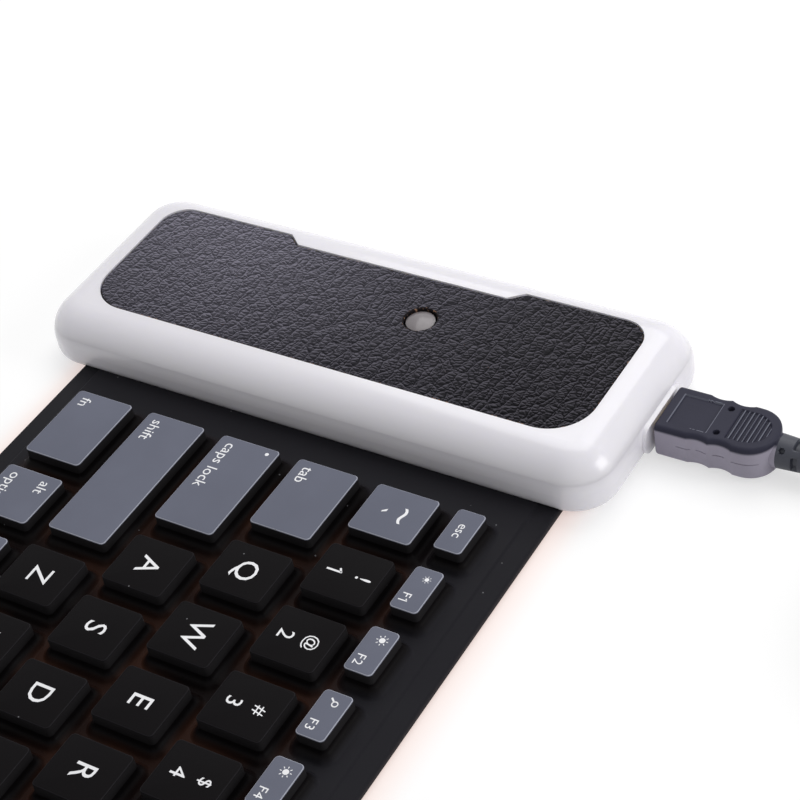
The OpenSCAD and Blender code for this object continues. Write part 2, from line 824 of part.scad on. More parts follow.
module board_parts() {
    can_size = 12;
    can_height = 1.8;
    led_diameter = 3;
    led_base = 3.8;
    led_base_height = 1.0;
    led_height = cavity_top - lens_flange - board_top - 0.6;
    led_stem = led_height - led_diameter / 2;
    crystal_length = 11;
    crystal_width = 4.5;
    crystal_radius = 2.2;
    crystal_height = 2.5;
    color([0.7, 0.7, 0.72]) {
        // radio module's shield
        translate([board_left + can_from_left, board_front + can_from_front, board_top])
            box([-can_size / 2, -can_size / 2, 0], [can_size / 2, can_size / 2, can_height]);
        // indicator light under the lens
        translate([lens_x, lens_y, board_top]) {
            cylinder(d = led_diameter, h = led_stem);
            translate([0, 0, led_stem - touch])
                sphere(d = led_diameter);
            cylinder(d = led_base, h = led_base_height);
        }
        // connector for the mat's film
        difference() {
            box([board_right - connector_depth, tail_y - tail_width / 2 - connector_wall, board_top],
                [board_right - connector_inset, tail_y + tail_width / 2 + connector_wall,
                board_top + connector_height]);
            box([board_right - connector_depth - 1, tail_y - tail_width / 2, tail_top - film_thickness],
                [board_right, tail_y + tail_width / 2, tail_top]);
        }
        // crystal
        translate([board_right - crystal_from_right, board_front + crystal_from_front, board_top])
            plate(crystal_length, crystal_width, crystal_radius, 0, crystal_height);
    }
}

module battery_cell() {
    folded_edge = 2;
    color([0.75, 0.77, 0.8])
    translate([battery_x, (battery_front + battery_back) / 2, 0]) {
        plate(battery_width, battery_length - 2 * folded_edge, battery_corner, floor_top,
            floor_top + battery_thickness);
        // folded edge with the protection board
        box([-battery_width / 2 + battery_corner, battery_length / 2 - folded_edge - touch, floor_top],
            [battery_width / 2 - battery_corner, battery_length / 2, floor_top + battery_thickness / 2]);
    }
}

module mini_outline(grow) {
    half_width = plug_width / 2 + grow;
    half_height = plug_height / 2 + grow;
    waist = plug_width / 2 - 0.7 + grow;
    polygon([[-half_width, -half_height], [half_width, -half_height], [half_width, half_height / 3],
        [waist, half_height], [-waist, half_height], [-half_width, half_height / 3]]);
}

module along_socket(from, to) {
    translate([socket_x, from, socket_height])
        rotate([-90, 0, 0])
            linear_extrude(to - from)
                children();
}

module usb_socket() {
    back = socket_mouth - socket_length;
    tab_width = 1.2;
    tab_length = 1.6;
    tab_height = 0.4;
    color([0.8, 0.8, 0.8]) {
        difference() {
            along_socket(back, socket_mouth)
                mini_outline(plug_clearance + socket_wall);
            along_socket(back + socket_back_wall, socket_mouth + 1)
                mini_outline(plug_clearance);
        }
        along_socket(back + socket_back_wall / 2, back + socket_back_wall + tongue_length)
            square([tongue_width, tongue_thickness], center = true);
        for (x = [-1, 1])
            translate([socket_x + x * (plug_width / 2 + socket_wall + plug_clearance + tab_height), back, 0])
                box([-tab_width / 2, tab_length / 2, board_top],
                    [tab_width / 2, tab_length * 1.5, board_top + tab_height]);
    }
}

module switch_body() {
    color([0.75, 0.75, 0.77])
    difference() {
        box([board_left, switch_y - switch_body_length / 2, board_top],
            [board_left + switch_body_depth, switch_y + switch_body_length / 2, board_top + switch_body_height]);
        box([board_left - 1, switch_y - knob_width / 2 - switch_travel / 2 - body_gap,
            switch_axis_z - knob_height / 2 - body_gap / 2],
            [board_left + switch_body_depth - 1, switch_y + knob_width / 2 + switch_travel / 2 + body_gap,
            switch_axis_z + knob_height / 2 + body_gap / 2]);
    }
}

module switch_knob() {
    start = switch_y - switch_travel / 2;
    color([0.2, 0.2, 0.22])
    difference() {
        box([left_end + 0.15, start - knob_width / 2, switch_axis_z - knob_height / 2],
            [board_left + switch_body_depth - 1.3, start + knob_width / 2, switch_axis_z + knob_height / 2]);
        for (y = [-0.8, 0, 0.8])
            box([left_end, start + y - 0.15, switch_axis_z - knob_height],
                [left_end + 0.4, start + y + 0.15, switch_axis_z + knob_height]);
    }
}

module housing_screws() {
    cross = 0.5;
    color([0.75, 0.76, 0.78])
    for (p = screw_places)
        translate([p[0], p[1], screw_head_z])
            difference() {
                union() {
                    cylinder(d = screw_head_diameter, h = screw_head_height);
                    cylinder(d = screw_diameter, h = split_height + screw_reach - screw_head_z - 0.3);
                }
                for (turn = [0, 90])
                    rotate([0, 0, turn])
                        box([-screw_head_diameter / 3, -cross / 2, -touch],
                            [screw_head_diameter / 3, cross / 2, screw_head_height * 0.7]);
            }
}

module rubber_feet() {
    color([0.15, 0.15, 0.16])
    for (p = foot_places)
        translate([p[0], p[1], 0])
            cylinder(d = foot_diameter - 2 * inlay_gap, h = foot_proud + foot_sink);
}

// ======== the charging plug

module usb_plug_shell() {
    tip = socket_mouth - plug_reach;
    color([0.8, 0.72, 0.45])
    difference() {
        along_socket(tip, grip_front + shell_in_grip)
            mini_outline(0);
        along_socket(tip - 1, grip_front + shell_in_grip + 1)
            mini_outline(-plug_wall);
    }
}

module grip_plan() {
    end_radius = grip_width / 2 - 0.8;
    square_length = grip_length - end_radius;
    translate([0, square_length / 2])
        rounded_square(grip_width, square_length, grip_radius / 2);
    translate([0, square_length - grip_radius])
        intersection() {
            circle(r = end_radius + grip_radius);
            translate([-grip_width / 2, 0])
                square([grip_width, grip_width]);
        }
}

module usb_plug_grip() {
    rib_pitch = 0.95;
    rib_inset = 3;
    recess = 0.45;
    panel_y = 4.2;
    panel_length = 5;
    mark_x = 3;
    mark_y = 11.2;
    mark_diameter = 1.1;
    scallop_radius = 2.1;
    scallop_depth = 0.5;
    scallops = [5, 9.5, 14];
    slot_width = 2.4;
    slot_length = 1.1;
    slot_pitch = 2.4;
    slot_start = 2.8;
    slot_depth = 0.7;
    low = socket_height - grip_height / 2;
    high = socket_height + grip_height / 2;
    rib_start = grip_back - rib_inset - grip_ribs * rib_pitch;
    color([0.2, 0.21, 0.24])
    difference() {
        union() {
            intersection() {
                translate([socket_x, grip_front, low])
                    linear_extrude(grip_height)
                        grip_plan();
                along_socket(grip_front, grip_back)
                    rounded_square(grip_width, grip_height, grip_radius);
            }
            // insulator inside the metal plug
            along_socket(socket_mouth - plug_reach + 0.4, grip_front + shell_in_grip)
                mini_outline(-plug_wall);
            translate([socket_x, grip_back - 1, socket_height])
                rotate([-90, 0, 0])
                    difference() {
                        cylinder(r1 = relief_radius, r2 = relief_tip_radius, h = relief_length + 1);
                        for (i = [0:relief_slots - 1], turn = [0:90:270])
                            rotate([0, 0, turn])
                                translate([0, 0, slot_start + i * slot_pitch])
                                    box([-relief_radius, -slot_width / 2, 0],
                                        [-relief_tip_radius + slot_depth, slot_width / 2, slot_length]);
                    }
        }
        // pocket for the metal plug
        difference() {
            along_socket(grip_front - 1, grip_front + shell_in_grip)
                mini_outline(0);
            along_socket(grip_front - 2, grip_front + shell_in_grip + 1)
                mini_outline(-plug_wall);
        }
        // slot for the socket's tongue
        along_socket(socket_mouth - plug_reach - 1,
            socket_mouth - socket_length + socket_back_wall + tongue_length + 1)
            square([tongue_width + 2 * body_gap, tongue_thickness + 2 * body_gap], center = true);
        // recessed panel, moulding marks and finger ribs on the upper face
        translate([socket_x, grip_front + panel_y, high - recess])
            linear_extrude(1)
                rounded_square(grip_width - 2 * scallop_radius, panel_length, mark_diameter / 2);
        for (x = [-mark_x, mark_x])
            translate([socket_x + x, grip_front + mark_y, high - recess])
                cylinder(d = mark_diameter, h = 1);
        for (i = [0:grip_ribs - 1])
            translate([socket_x, rib_start + i * rib_pitch, high - recess])
                linear_extrude(1)
                    square([grip_width - 2 * slot_width, rib_pitch / 2], center = true);
        // scallops along both sides
        for (x = [-1, 1], y = scallops)
            translate([socket_x + x * (grip_width / 2 + scallop_radius - scallop_depth), grip_front + y, low - 1])
                cylinder(r = scallop_radius, h = grip_height + 2);
    }
}

// ======== the cord

function unit(v) = v / norm(v);
function tangent(path, i) = unit(path[min(i + 1, len(path) - 1)] - path[max(i - 1, 0)]);
function ring(point, ahead, radius, sides) = let(
    across = unit(cross(ahead, [0, 0, 1])),
    above = cross(across, ahead)
) [for (k = [0:sides - 1]) point
    + radius * cos(360 * k / sides) * across
    + radius * sin(360 * k / sides) * above];

module tube(path, sides) {
    last = len(path) - 1;
    points = [for (i = [0:last]) each ring(path[i], tangent(path, i), cord_radius, sides)];
    walls = [for (i = [0:last - 1], k = [0:sides - 1]) let(
        a = i * sides + k,
        b = i * sides + (k + 1) % sides
    ) each [[a, a + sides, b + sides], [a, b + sides, b]]];
    near_end = [for (k = [0:sides - 1]) k];
    far_end = [for (k = [sides - 1:-1:0]) last * sides + k];
    polyhedron(points, concat([near_end, far_end], walls));
}

rings_per_loop = 24;
coil_rings = ceil(coil_turns * rings_per_loop);
function coil_radius(t) = coil_start_radius - coil_step * min(t, coil_turns - t);
function climb(t) = let(u = min(max((t - coil_turns / 2) * 2 + 0.5, 0), 1)) u * u * (3 - 2 * u);
function coil_point(t) = [
    coil_x + coil_radius(t) * cos(180 - 360 * t),
    coil_y + coil_radius(t) * sin(180 - 360 * t),
    coil_low + coil_layer * climb(t)
];
coil_loops = [for (i = [0:coil_rings]) coil_point(i * coil_turns / coil_rings)];
coil_path = concat(
    [[coil_loops[0][0], coil_loops[0][1] - cord_diameter, coil_loops[0][2]]],
    coil_loops,
    [coil_loops[coil_rings] + [cord_diameter, 0, 0]]
);
half_loop = rings_per_loop / 2;
least_gap = min([for (i = [0:coil_rings - half_loop], j = [i + half_loop:coil_rings])
    norm(coil_loops[i] - coil_loops[j])]) - cord_diameter;
coil_length = 2 * PI * coil_diameter / 2 * coil_turns + 2 * cord_diameter;
echo(least_gap_of_the_coil = least_gap, coil_length = coil_length);

lead_path = concat(
    [for (p = lead_route) [socket_x + p[0], relief_end + p[1], p[2]]],
    [[socket_x, lead_end, coil_low]]
);
tail_start = [coil_x + cord_diameter, coil_end_y, coil_low + coil_layer];
tail_path = concat(
    [for (p = tail_route) [tail_start[0] + p[0], tail_start[1], p[2]]],
    [[plug_a_x, coil_end_y, plug_a_axis_z]]
);

module cord_lead() {
    color([0.2, 0.21, 0.24])
        tube(lead_path, 8);
}

module cord_coil() {
    color([0.2, 0.21, 0.24])
        tube(coil_path, 6);
}

module cord_tail() {
    color([0.2, 0.21, 0.24])
        tube(tail_path, 8);
}

// ======== the far plug

module along_tail(from, to) {
    translate([plug_a_x + from, coil_end_y, plug_a_axis_z])
        rotate([90, 0, 90])
            linear_extrude(to - from)
                children();
}

module usb_a_grip() {
    tongue_top = plug_a_shell_height / 2 - 0.7;
    color([0.2, 0.21, 0.24]) {
        translate([plug_a_x, coil_end_y, plug_a_axis_z])
            rotate([0, 90, 0])
                cylinder(r1 = relief_tip_radius, r2 = relief_radius, h = plug_a_relief + touch);
        difference() {
            along_tail(plug_a_relief, plug_a_relief + plug_a_length)
                rounded_square(plug_a_width, plug_a_height, grip_radius);
            difference() {
                along_tail(plug_a_relief + plug_a_length - shell_in_grip, plug_a_relief + plug_a_length + 1)
                    rounded_square(plug_a_shell_width, plug_a_shell_height, plug_a_corner);
                along_tail(plug_a_relief, plug_a_relief + plug_a_length + 2)
                    plug_a_inside();
            }
        }
        // tongue that carries the contacts
        along_tail(plug_a_relief + plug_a_length - touch, plug_a_relief + plug_a_length + plug_a_shell_length - 0.8)
            translate([0, plug_a_shell_height / 2 - plug_wall - tongue_top / 2])
                rounded_square(plug_a_shell_width - 2 * plug_wall, tongue_top, plug_a_inner_corner);
    }
}

module plug_a_inside() {
    rounded_square(plug_a_shell_width - 2 * plug_wall, plug_a_shell_height - 2 * plug_wall,
        plug_a_inner_corner);
}

module usb_a_shell() {
    start = plug_a_relief + plug_a_length - shell_in_grip;
    window = 2.2;
    window_setback = 4;
    window_x = plug_a_x + plug_a_relief + plug_a_length + window_setback;
    window_y = 2.8;
    color([0.8, 0.8, 0.8])
    difference() {
        along_tail(start, plug_a_relief + plug_a_length + plug_a_shell_length)
            rounded_square(plug_a_shell_width, plug_a_shell_height, plug_a_corner);
        along_tail(start - 1, plug_a_relief + plug_a_length + plug_a_shell_length + 1)
            plug_a_inside();
        for (y = [-window_y, window_y])
            translate([window_x, coil_end_y + y, plug_a_axis_z])
                box([0, -window / 2, 0], [window, window / 2, plug_a_height]);
    }
}

housing_top();
housing_bottom();
leather_inlay();
indicator_lens();
main_board();
board_parts();
battery_cell();
usb_socket();
switch_body();
switch_knob();
housing_screws();
rubber_feet();
clamp_bar();
for (i = [0:rolling_panels]) {
    key_sheet(i);
    circuit_film(i);
    base_sheet(i);
}
for (row = [0:len(key_names) - 1], i = [0:len(key_names[row]) - 1])
    color([0.14, 0.13, 0.14]) moving_key(rows[row][i]);
usb_plug_grip();
usb_plug_shell();
cord_lead();
cord_coil();
cord_tail();
usb_a_grip();
usb_a_shell();
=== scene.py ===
import math

import bmesh
import bpy
from mathutils import Matrix, Vector


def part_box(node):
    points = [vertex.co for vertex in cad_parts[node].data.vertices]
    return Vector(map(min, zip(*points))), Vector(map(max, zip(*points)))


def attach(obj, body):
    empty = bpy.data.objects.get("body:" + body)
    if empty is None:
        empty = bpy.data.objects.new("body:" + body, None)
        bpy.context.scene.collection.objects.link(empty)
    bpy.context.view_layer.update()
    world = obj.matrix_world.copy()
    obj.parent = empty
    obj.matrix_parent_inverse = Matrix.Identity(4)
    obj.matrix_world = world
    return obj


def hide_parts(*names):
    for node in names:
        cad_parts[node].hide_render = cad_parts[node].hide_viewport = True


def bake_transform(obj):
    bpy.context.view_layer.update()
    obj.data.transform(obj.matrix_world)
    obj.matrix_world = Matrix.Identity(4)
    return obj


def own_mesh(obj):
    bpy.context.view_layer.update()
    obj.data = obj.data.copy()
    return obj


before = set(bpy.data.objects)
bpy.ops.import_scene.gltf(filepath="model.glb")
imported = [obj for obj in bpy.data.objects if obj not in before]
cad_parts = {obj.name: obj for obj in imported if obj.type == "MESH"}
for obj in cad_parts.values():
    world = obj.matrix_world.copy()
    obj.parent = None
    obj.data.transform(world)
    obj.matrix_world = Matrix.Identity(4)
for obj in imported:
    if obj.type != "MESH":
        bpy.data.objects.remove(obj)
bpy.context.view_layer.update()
MM = 0.001

# ---- driving sizes, in millimetres, as in the part's source
KEY_PITCH = 15.5
ROW_PITCH = 16.7
KEY_WIDTH = 11.4
KEY_DEPTH = 12.6
FUNCTION_WIDTH = 9.9
FUNCTION_DEPTH = 5.5
FUNCTION_ROW_PITCH = 12.7
FUNCTION_KEYS = 16
COLUMNS = 15
WIDE_KEY_GAP = 4.5
CAP_RADIUS = 0.85
MAT_DEPTH = 104.6
MAT_TOP = 2.0
SKIRT_TOP = 3.2
KEY_TOP = 6.2
BORDER = 4.0
MAT_CORNER = 6.0
PANELS = 4
HOUSING_RIGHT = -100.0
MAT_RIGHT = 146.0
FIRST_FOLD = -3.0
BEND_BEFORE, BEND_AFTER, BEND_STEPS = 1.0, 15.0, 12
WEB_SPREAD = 1.8
TONGUE = 6.0
INLAY_LEFT, INLAY_RIGHT = -140.0, -108.0
CORD_DIAMETER = 3.5
COIL_DIAMETER = 41.0
COIL_TURNS = 4.25
COIL_STEP = 4.0
COIL_LOW = 1.85
SOCKET_X = -125.5
SOCKET_Z = 4.5
GRIP_HEIGHT = 7.0
GRIP_TOP = SOCKET_Z + GRIP_HEIGHT / 2
RELIEF_END = 94.6
COIL_Y = 132.0
PLUG_A_Z = 3.9
TAIL_RUN = 15.2

FIELD_LEFT = HOUSING_RIGHT + 9.5
FIELD_WIDTH = (COLUMNS - 1) * KEY_PITCH + KEY_WIDTH
FIELD_DEPTH = KEY_DEPTH / 2 + 4 * ROW_PITCH + FUNCTION_ROW_PITCH + FUNCTION_DEPTH / 2
BOTTOM_ROW_Y = KEY_DEPTH / 2 - FIELD_DEPTH / 2
PANEL_WIDTH = (MAT_RIGHT - FIRST_FOLD) / PANELS


# ======== camera

def make_camera():
    data = bpy.data.cameras.new("photo_camera")
    data.lens = 94.7
    data.sensor_width = 36.0
    data.clip_start = 0.01
    data.clip_end = 20
    camera = bpy.data.objects.new("photo_camera", data)
    camera.location = (0.11895, 0.19179, 0.2581)
    camera.rotation_euler = [math.radians(a) for a in (48.512, 8.042, 120.569)]
    bpy.context.scene.collection.objects.link(camera)
    bpy.context.scene.camera = camera


make_camera()


# ======== materials

def new_material(name, **values):
    material = bpy.data.materials.new(name)
    material.use_nodes = True
    shader = material.node_tree.nodes["Principled BSDF"]
    for key, value in values.items():
        shader.inputs[key.replace("_", " ")].default_value = value
    return material, material.node_tree, shader


def add(tree, kind, **settings):
    node = tree.nodes.new(kind)
    for key, value in settings.items():
        if key.startswith("in_"):
            node.inputs[key[3:].replace("_", " ")].default_value = value
        else:
            setattr(node, key, value)
    return node


def object_coordinates(tree):
    return add(tree, "ShaderNodeTexCoord").outputs["Object"]


def position(tree):
    """The point's X, Y and Z in the frame, by name."""
    node = add(tree, "ShaderNodeSeparateXYZ")
    tree.links.new(object_coordinates(tree), node.inputs["Vector"])
    return node.outputs


def map_range(tree, value, low, high, start=0.0, end=1.0, **settings):
    """start up to low, end from high on, and a slope between them."""
    node = add(tree, "ShaderNodeMapRange", in_To_Min=start, in_To_Max=end, **settings)
    node.inputs["From Min"].default_value = low
    node.inputs["From Max"].default_value = high
    tree.links.new(value, node.inputs["Value"])
    return node.outputs["Result"]


def noise(tree, scale, detail=4.0, roughness=0.5):
    node = add(tree, "ShaderNodeTexNoise", in_Scale=scale, in_Detail=detail, in_Roughness=roughness)
    tree.links.new(object_coordinates(tree), node.inputs["Vector"])
    return node.outputs["Fac"]


def ramp(tree, factor, stops):
    node = add(tree, "ShaderNodeValToRGB")
    elements = node.color_ramp.elements
    while len(elements) < len(stops):
        elements.new(0.5)
    for element, (place, value) in zip(elements, stops):
        element.position = place
        element.color = (*value, 1.0) if isinstance(value, tuple) else (value, value, value, 1.0)
    tree.links.new(factor, node.inputs["Fac"])
    return node.outputs["Color"]


def bump(tree, shader, height, distance, strength=1.0, below=None):
    node = add(tree, "ShaderNodeBump", in_Strength=strength, in_Distance=distance)
    tree.links.new(height, node.inputs["Height"])
    if below is not None:
        tree.links.new(below, node.inputs["Normal"])
    tree.links.new(node.outputs["Normal"], shader.inputs["Normal"])
    return node.outputs["Normal"]


def mix_colour(tree, factor, first, second):
    node = add(tree, "ShaderNodeMix", data_type="RGBA")
    for value, socket in ((first, node.inputs[6]), (second, node.inputs[7])):
        if isinstance(value, tuple):
            socket.default_value = (*value, 1.0)
        else:
            tree.links.new(value, socket)
    tree.links.new(factor, node.inputs[0])
    return node.outputs[2]


def maths(tree, operation, first, second=None):
    node = add(tree, "ShaderNodeMath", operation=operation)
    node.use_clamp = operation in ("MULTIPLY", "ADD")
    for value, socket in ((first, node.inputs[0]), (second, node.inputs[1])):
        if value is None:
            continue
        if isinstance(value, (int, float)):
            socket.default_value = value
        else:
            tree.links.new(value, socket)
    return node.outputs[0]


def vectors(tree, operation, first, second):
    node = add(tree, "ShaderNodeVectorMath", operation=operation)
    tree.links.new(first, node.inputs[0])
    if isinstance(second, tuple):
        node.inputs[1].default_value = second
    else:
        tree.links.new(second, node.inputs[1])
    return node.outputs[0]


def flat_value(tree, amount):
    node = add(tree, "ShaderNodeValue")
    node.outputs[0].default_value = amount
    return node.outputs[0]


def dusted(tree, shader, base, scale, limit, speck):
    """Links the base colour, under sparse tiny specks: the very centres of some Voronoi cells."""
    cells = add(tree, "ShaderNodeTexVoronoi", in_Scale=scale)
    tree.links.new(object_coordinates(tree), cells.inputs["Vector"])
    near = maths(tree, "LESS_THAN", cells.outputs["Distance"], 0.06)
    chosen = add(tree, "ShaderNodeSeparateColor")
    tree.links.new(cells.outputs["Color"], chosen.inputs["Color"])
    specks = maths(tree, "MULTIPLY", near, maths(tree, "LESS_THAN", chosen.outputs["Red"], limit))
    tree.links.new(mix_colour(tree, specks, base, speck), shader.inputs["Base Color"])


# colours of the mat outside the keys, and of the painted light that comes through it between them
MARGIN = (0.0150, 0.0145, 0.0178)
PAINTED_THROUGH_LIGHT = (0.034, 0.0145, 0.0095)
SLEEVE_DUST = (0.2, 0.2, 0.22)
SILICONE_SHINE = 0.04
# where the keys' field ends and where the light between the keys shows, as faded() takes them
FIELD_LIMITS = (("X", -93, -88), ("X", 140, 136), ("Y", 41, 35), ("Y", -47, -42))
ABOVE_MAT = ("Z", 3.1, 2.1)
BELOW_FACE = ("Z", 1.8, 1.95)


def faded(tree, place, start, limits):
    """A factor that falls to nothing at each limit: (axis, nothing here, all here), in millimetres."""
    for axis, none, full in limits:
        start = maths(tree, "MULTIPLY", start, map_range(tree, place[axis], none * MM, full * MM))
    return start


def silicone_material(name, colour, glow, roughness=0.5):
    """Dusty moulded silicone. Low down it has a painted brown glow between the keys, as if light came through
    it, and is paler outside them.
    """
    material, tree, shader = new_material(name, Roughness=roughness, Specular_IOR_Level=SILICONE_SHINE)
    place = position(tree)
    cloudy = noise(tree, 70, 3)
    base = mix_colour(tree, ramp(tree, cloudy, [(0.3, 0.0), (0.7, 1.0)]), colour,
                      tuple(c * 1.12 for c in colour))
    if glow:
        low = faded(tree, place, 1.0, (ABOVE_MAT,))
        field = faded(tree, place, 1.0, FIELD_LIMITS)
        margin = maths(tree, "MULTIPLY", low, maths(tree, "SUBTRACT", 1.0, field))
        base = mix_colour(tree, margin, base, MARGIN)
        # painted light: a brown glow between the keys, where light would come through the thin silicone
        between = maths(tree, "MULTIPLY", low, field)
        patchy = ramp(tree, noise(tree, 60, 2), [(0.38, 0.1), (0.62, 1.0)])
        painted_light_tint = faded(tree, place, maths(tree, "MULTIPLY", patchy, between), (BELOW_FACE,))
        base = mix_colour(tree, painted_light_tint, base, PAINTED_THROUGH_LIGHT)
    dusted(tree, shader, base, 420, 0.16, (0.16, 0.16, 0.17))
    tree.links.new(ramp(tree, cloudy, [(0.2, roughness - 0.06), (0.8, roughness + 0.08)]),
                   shader.inputs["Roughness"])
    bump(tree, shader, noise(tree, 2600, 3), 0.02 * MM, 0.5)
    return material


def shell_material():
    """Polished milky plastic with a little depth under its skin."""
    material, tree, shader = new_material(
        "milky_shell", Roughness=0.24, Subsurface_Weight=0.25, Subsurface_Radius=(0.004, 0.004, 0.005),
        Subsurface_Scale=1.0, Coat_Weight=0.35, Coat_Roughness=0.08)
    cloudy = noise(tree, 25, 3)
    tree.links.new(mix_colour(tree, cloudy, (0.79, 0.77, 0.84), (0.83, 0.81, 0.87)),
                   shader.inputs["Base Color"])
    bump(tree, shader, noise(tree, 90, 2), 0.04 * MM, 0.3)
    return material


def leather_material():
    """Black pebbled leather: creases of two sizes, fine pores and a few reddish specks, with painted shading
    on the pebbles and a painted sheen towards one corner.
    """
    material, tree, shader = new_material("pebbled_leather", Roughness=0.4, Specular_IOR_Level=0.035)
    coordinates = object_coordinates(tree)
    warp = add(tree, "ShaderNodeTexNoise", in_Scale=380, in_Detail=3.0)
    tree.links.new(coordinates, warp.inputs["Vector"])
    shift = vectors(tree, "MULTIPLY", warp.outputs["Color"], (0.9 * MM,) * 3)
    moved = vectors(tree, "ADD", coordinates, shift)
    aside = vectors(tree, "ADD", moved, (0.16 * MM, 0.09 * MM, 0))

    def cells(place, scale, stretch, stops):
        """Height over a net of creases whose meshes are stretched."""
        node = add(tree, "ShaderNodeTexVoronoi", feature="DISTANCE_TO_EDGE", in_Scale=scale)
        tree.links.new(vectors(tree, "MULTIPLY", place, (*stretch, 1.0)), node.inputs["Vector"])
        return ramp(tree, node.outputs["Distance"], stops)

    def net(place):
        large = cells(place, 560, (0.45, 1.0), [(0.0, 0.0), (0.1, 0.7), (0.3, 1.0)])
        small = cells(place, 1250, (1.0, 0.6), [(0.0, 0.0), (0.16, 0.6), (0.45, 1.0)])
        return mix_colour(tree, flat_value(tree, 0.42), large, small)

    height = net(moved)
    slope = maths(tree, "SUBTRACT", net(aside), height)
    folds = ramp(tree, noise(tree, 160, 5, 0.65), [(0.3, 0.0), (0.7, 1.0)])
    under = bump(tree, shader, folds, 0.3 * MM, 0.35)
    first = bump(tree, shader, height, 0.22 * MM, 0.9, under)
    bump(tree, shader, noise(tree, 3200, 3), 0.03 * MM, 0.5, first)

    # painted sheen: the pad greys towards its front outer corner, as a soft reflection would lighten it
    place = position(tree)
    along = map_range(tree, place["Y"], -32 * MM, 45 * MM)
    sheen_along = ramp(tree, along, [(0.0, 1.0), (0.45, 0.43), (0.8, 0.15), (1.0, 0.07)])
    across = map_range(tree, place["X"], INLAY_LEFT * MM, INLAY_RIGHT * MM, 1.0, 0.58)
    grey = maths(tree, "MULTIPLY", sheen_along, across)
    # each pebble is pale on one side and dark on the other, as if lit from low down
    raised = map_range(tree, slope, -0.26, 0.26)
    hard, soft = (ramp(tree, raised, stops) for stops in (
        [(0.12, 0.0), (0.31, 0.04), (0.5, 0.1), (0.566, 0.22), (0.64, 0.5), (0.9, 1.0)],
        [(0.12, 0.0), (0.31, 0.13), (0.5, 0.26), (0.566, 0.42), (0.64, 0.7), (0.9, 1.0)]))
    shade = mix_colour(tree, grey, hard, soft)
    # the painted sheen also lifts the dark and the pale of the pebbles' painted shading
    dark = mix_colour(tree, grey, (0.001, 0.001, 0.0015), (0.045, 0.043, 0.055))
    pale = mix_colour(tree, grey, (0.070, 0.066, 0.079), (0.235, 0.225, 0.280))
    # painted light, not wear: the pebbles' painted shading mixed with the painted sheen
    worn = mix_colour(tree, shade, dark, pale)
    dusted(tree, shader, worn, 520, 0.07, (0.08, 0.045, 0.035))
    tree.links.new(ramp(tree, height, [(0.0, 0.62), (1.0, 0.4)]), shader.inputs["Roughness"])
    return material


def edge_material():
    """The cut edge of the leather: dark fibres with warm worn flecks."""
    material, tree, shader = new_material("leather_edge", Roughness=0.7, Specular_IOR_Level=0.1)
    flecks = ramp(tree, noise(tree, 1900, 2), [(0.6, 0.0), (0.68, 1.0)])
    tree.links.new(mix_colour(tree, flecks, (0.008, 0.006, 0.007), (0.30, 0.17, 0.11)),
                   shader.inputs["Base Color"])
    bump(tree, shader, noise(tree, 1500, 3), 0.1 * MM, 0.8)
    return material


def pvc_material():
    """Dark blue-grey soft sleeve."""
    material, tree, shader = new_material("cord_sleeve", Roughness=0.5, Specular_IOR_Level=0.45)
    cloudy = noise(tree, 180, 3)
    base = mix_colour(tree, cloudy, (0.034, 0.037, 0.052), (0.046, 0.049, 0.066))
    dusted(tree, shader, base, 700, 0.08, SLEEVE_DUST)
    bump(tree, shader, noise(tree, 2400, 3), 0.03 * MM, 0.5)
    return material


def grip_material(name, top, side):
    """Moulded sleeve with a painted reflection: its flanks are paler than its upper face, as if they mirrored
    the pale floor.
    """
    material, tree, shader = new_material(name, Roughness=0.5, Specular_IOR_Level=0.1)
    # painted reflection: dark on the upper face, pale on the flanks
    upper = map_range(tree, position(tree)["Z"], (GRIP_TOP - 1.3) * MM, (GRIP_TOP - 0.8) * MM)
    cloudy = noise(tree, 150, 4)
    flank = mix_colour(tree, cloudy, side, tuple(c * 1.35 for c in side))
    face = mix_colour(tree, cloudy, top, tuple(c * 1.3 for c in top))
    dusted(tree, shader, mix_colour(tree, upper, flank, face), 700, 0.12, SLEEVE_DUST)
    bump(tree, shader, noise(tree, 1800, 4), 0.05 * MM, 0.6)
    return material


def moulded_material(name, colour, roughness, grain=1500, metallic=0.0, depth=0.02, variation=1.25):
    """A plain moulded, plated or painted surface with slight colour change and fine grain."""
    material, tree, shader = new_material(name, Roughness=roughness, Metallic=metallic)
    lighter = tuple(min(c * variation, 1.0) for c in colour)
    tree.links.new(mix_colour(tree, noise(tree, 120, 3), colour, lighter), shader.inputs["Base Color"])
    stops = [(0.2, roughness * 0.85), (0.8, min(roughness * 1.2, 1.0))]
    tree.links.new(ramp(tree, noise(tree, 200, 2), stops), shader.inputs["Roughness"])
    bump(tree, shader, noise(tree, grain, 3), depth * MM, 0.4)
    return material


def lens_material():
    """The smoky window over the indicator light."""
    material, tree, shader = new_material("indicator_window", Roughness=0.3, Transmission_Weight=0.15,
                                          IOR=1.45, Coat_Weight=0.25)
    tree.links.new(mix_colour(tree, noise(tree, 900, 3), (0.17, 0.15, 0.16), (0.24, 0.215, 0.225)),
                   shader.inputs["Base Color"])
    bump(tree, shader, noise(tree, 1400, 2), 0.03 * MM, 0.4)
    return material


BLACK = silicone_material("black_silicone", (0.0038, 0.0031, 0.0037), glow=True, roughness=0.5)
WEB = silicone_material("silicone_web", (0.0038, 0.0031, 0.0035), glow=True, roughness=0.46)
# painted fill light: the caps' flanks stand in shade, so they get a paler black than their tops
FLANK_FILL_LIGHT = silicone_material("black_silicone_flank_fill_light", (0.0160, 0.0150, 0.0162), glow=True, roughness=0.5)
GREY = silicone_material("grey_print", (0.138, 0.146, 0.188), glow=False, roughness=0.55)
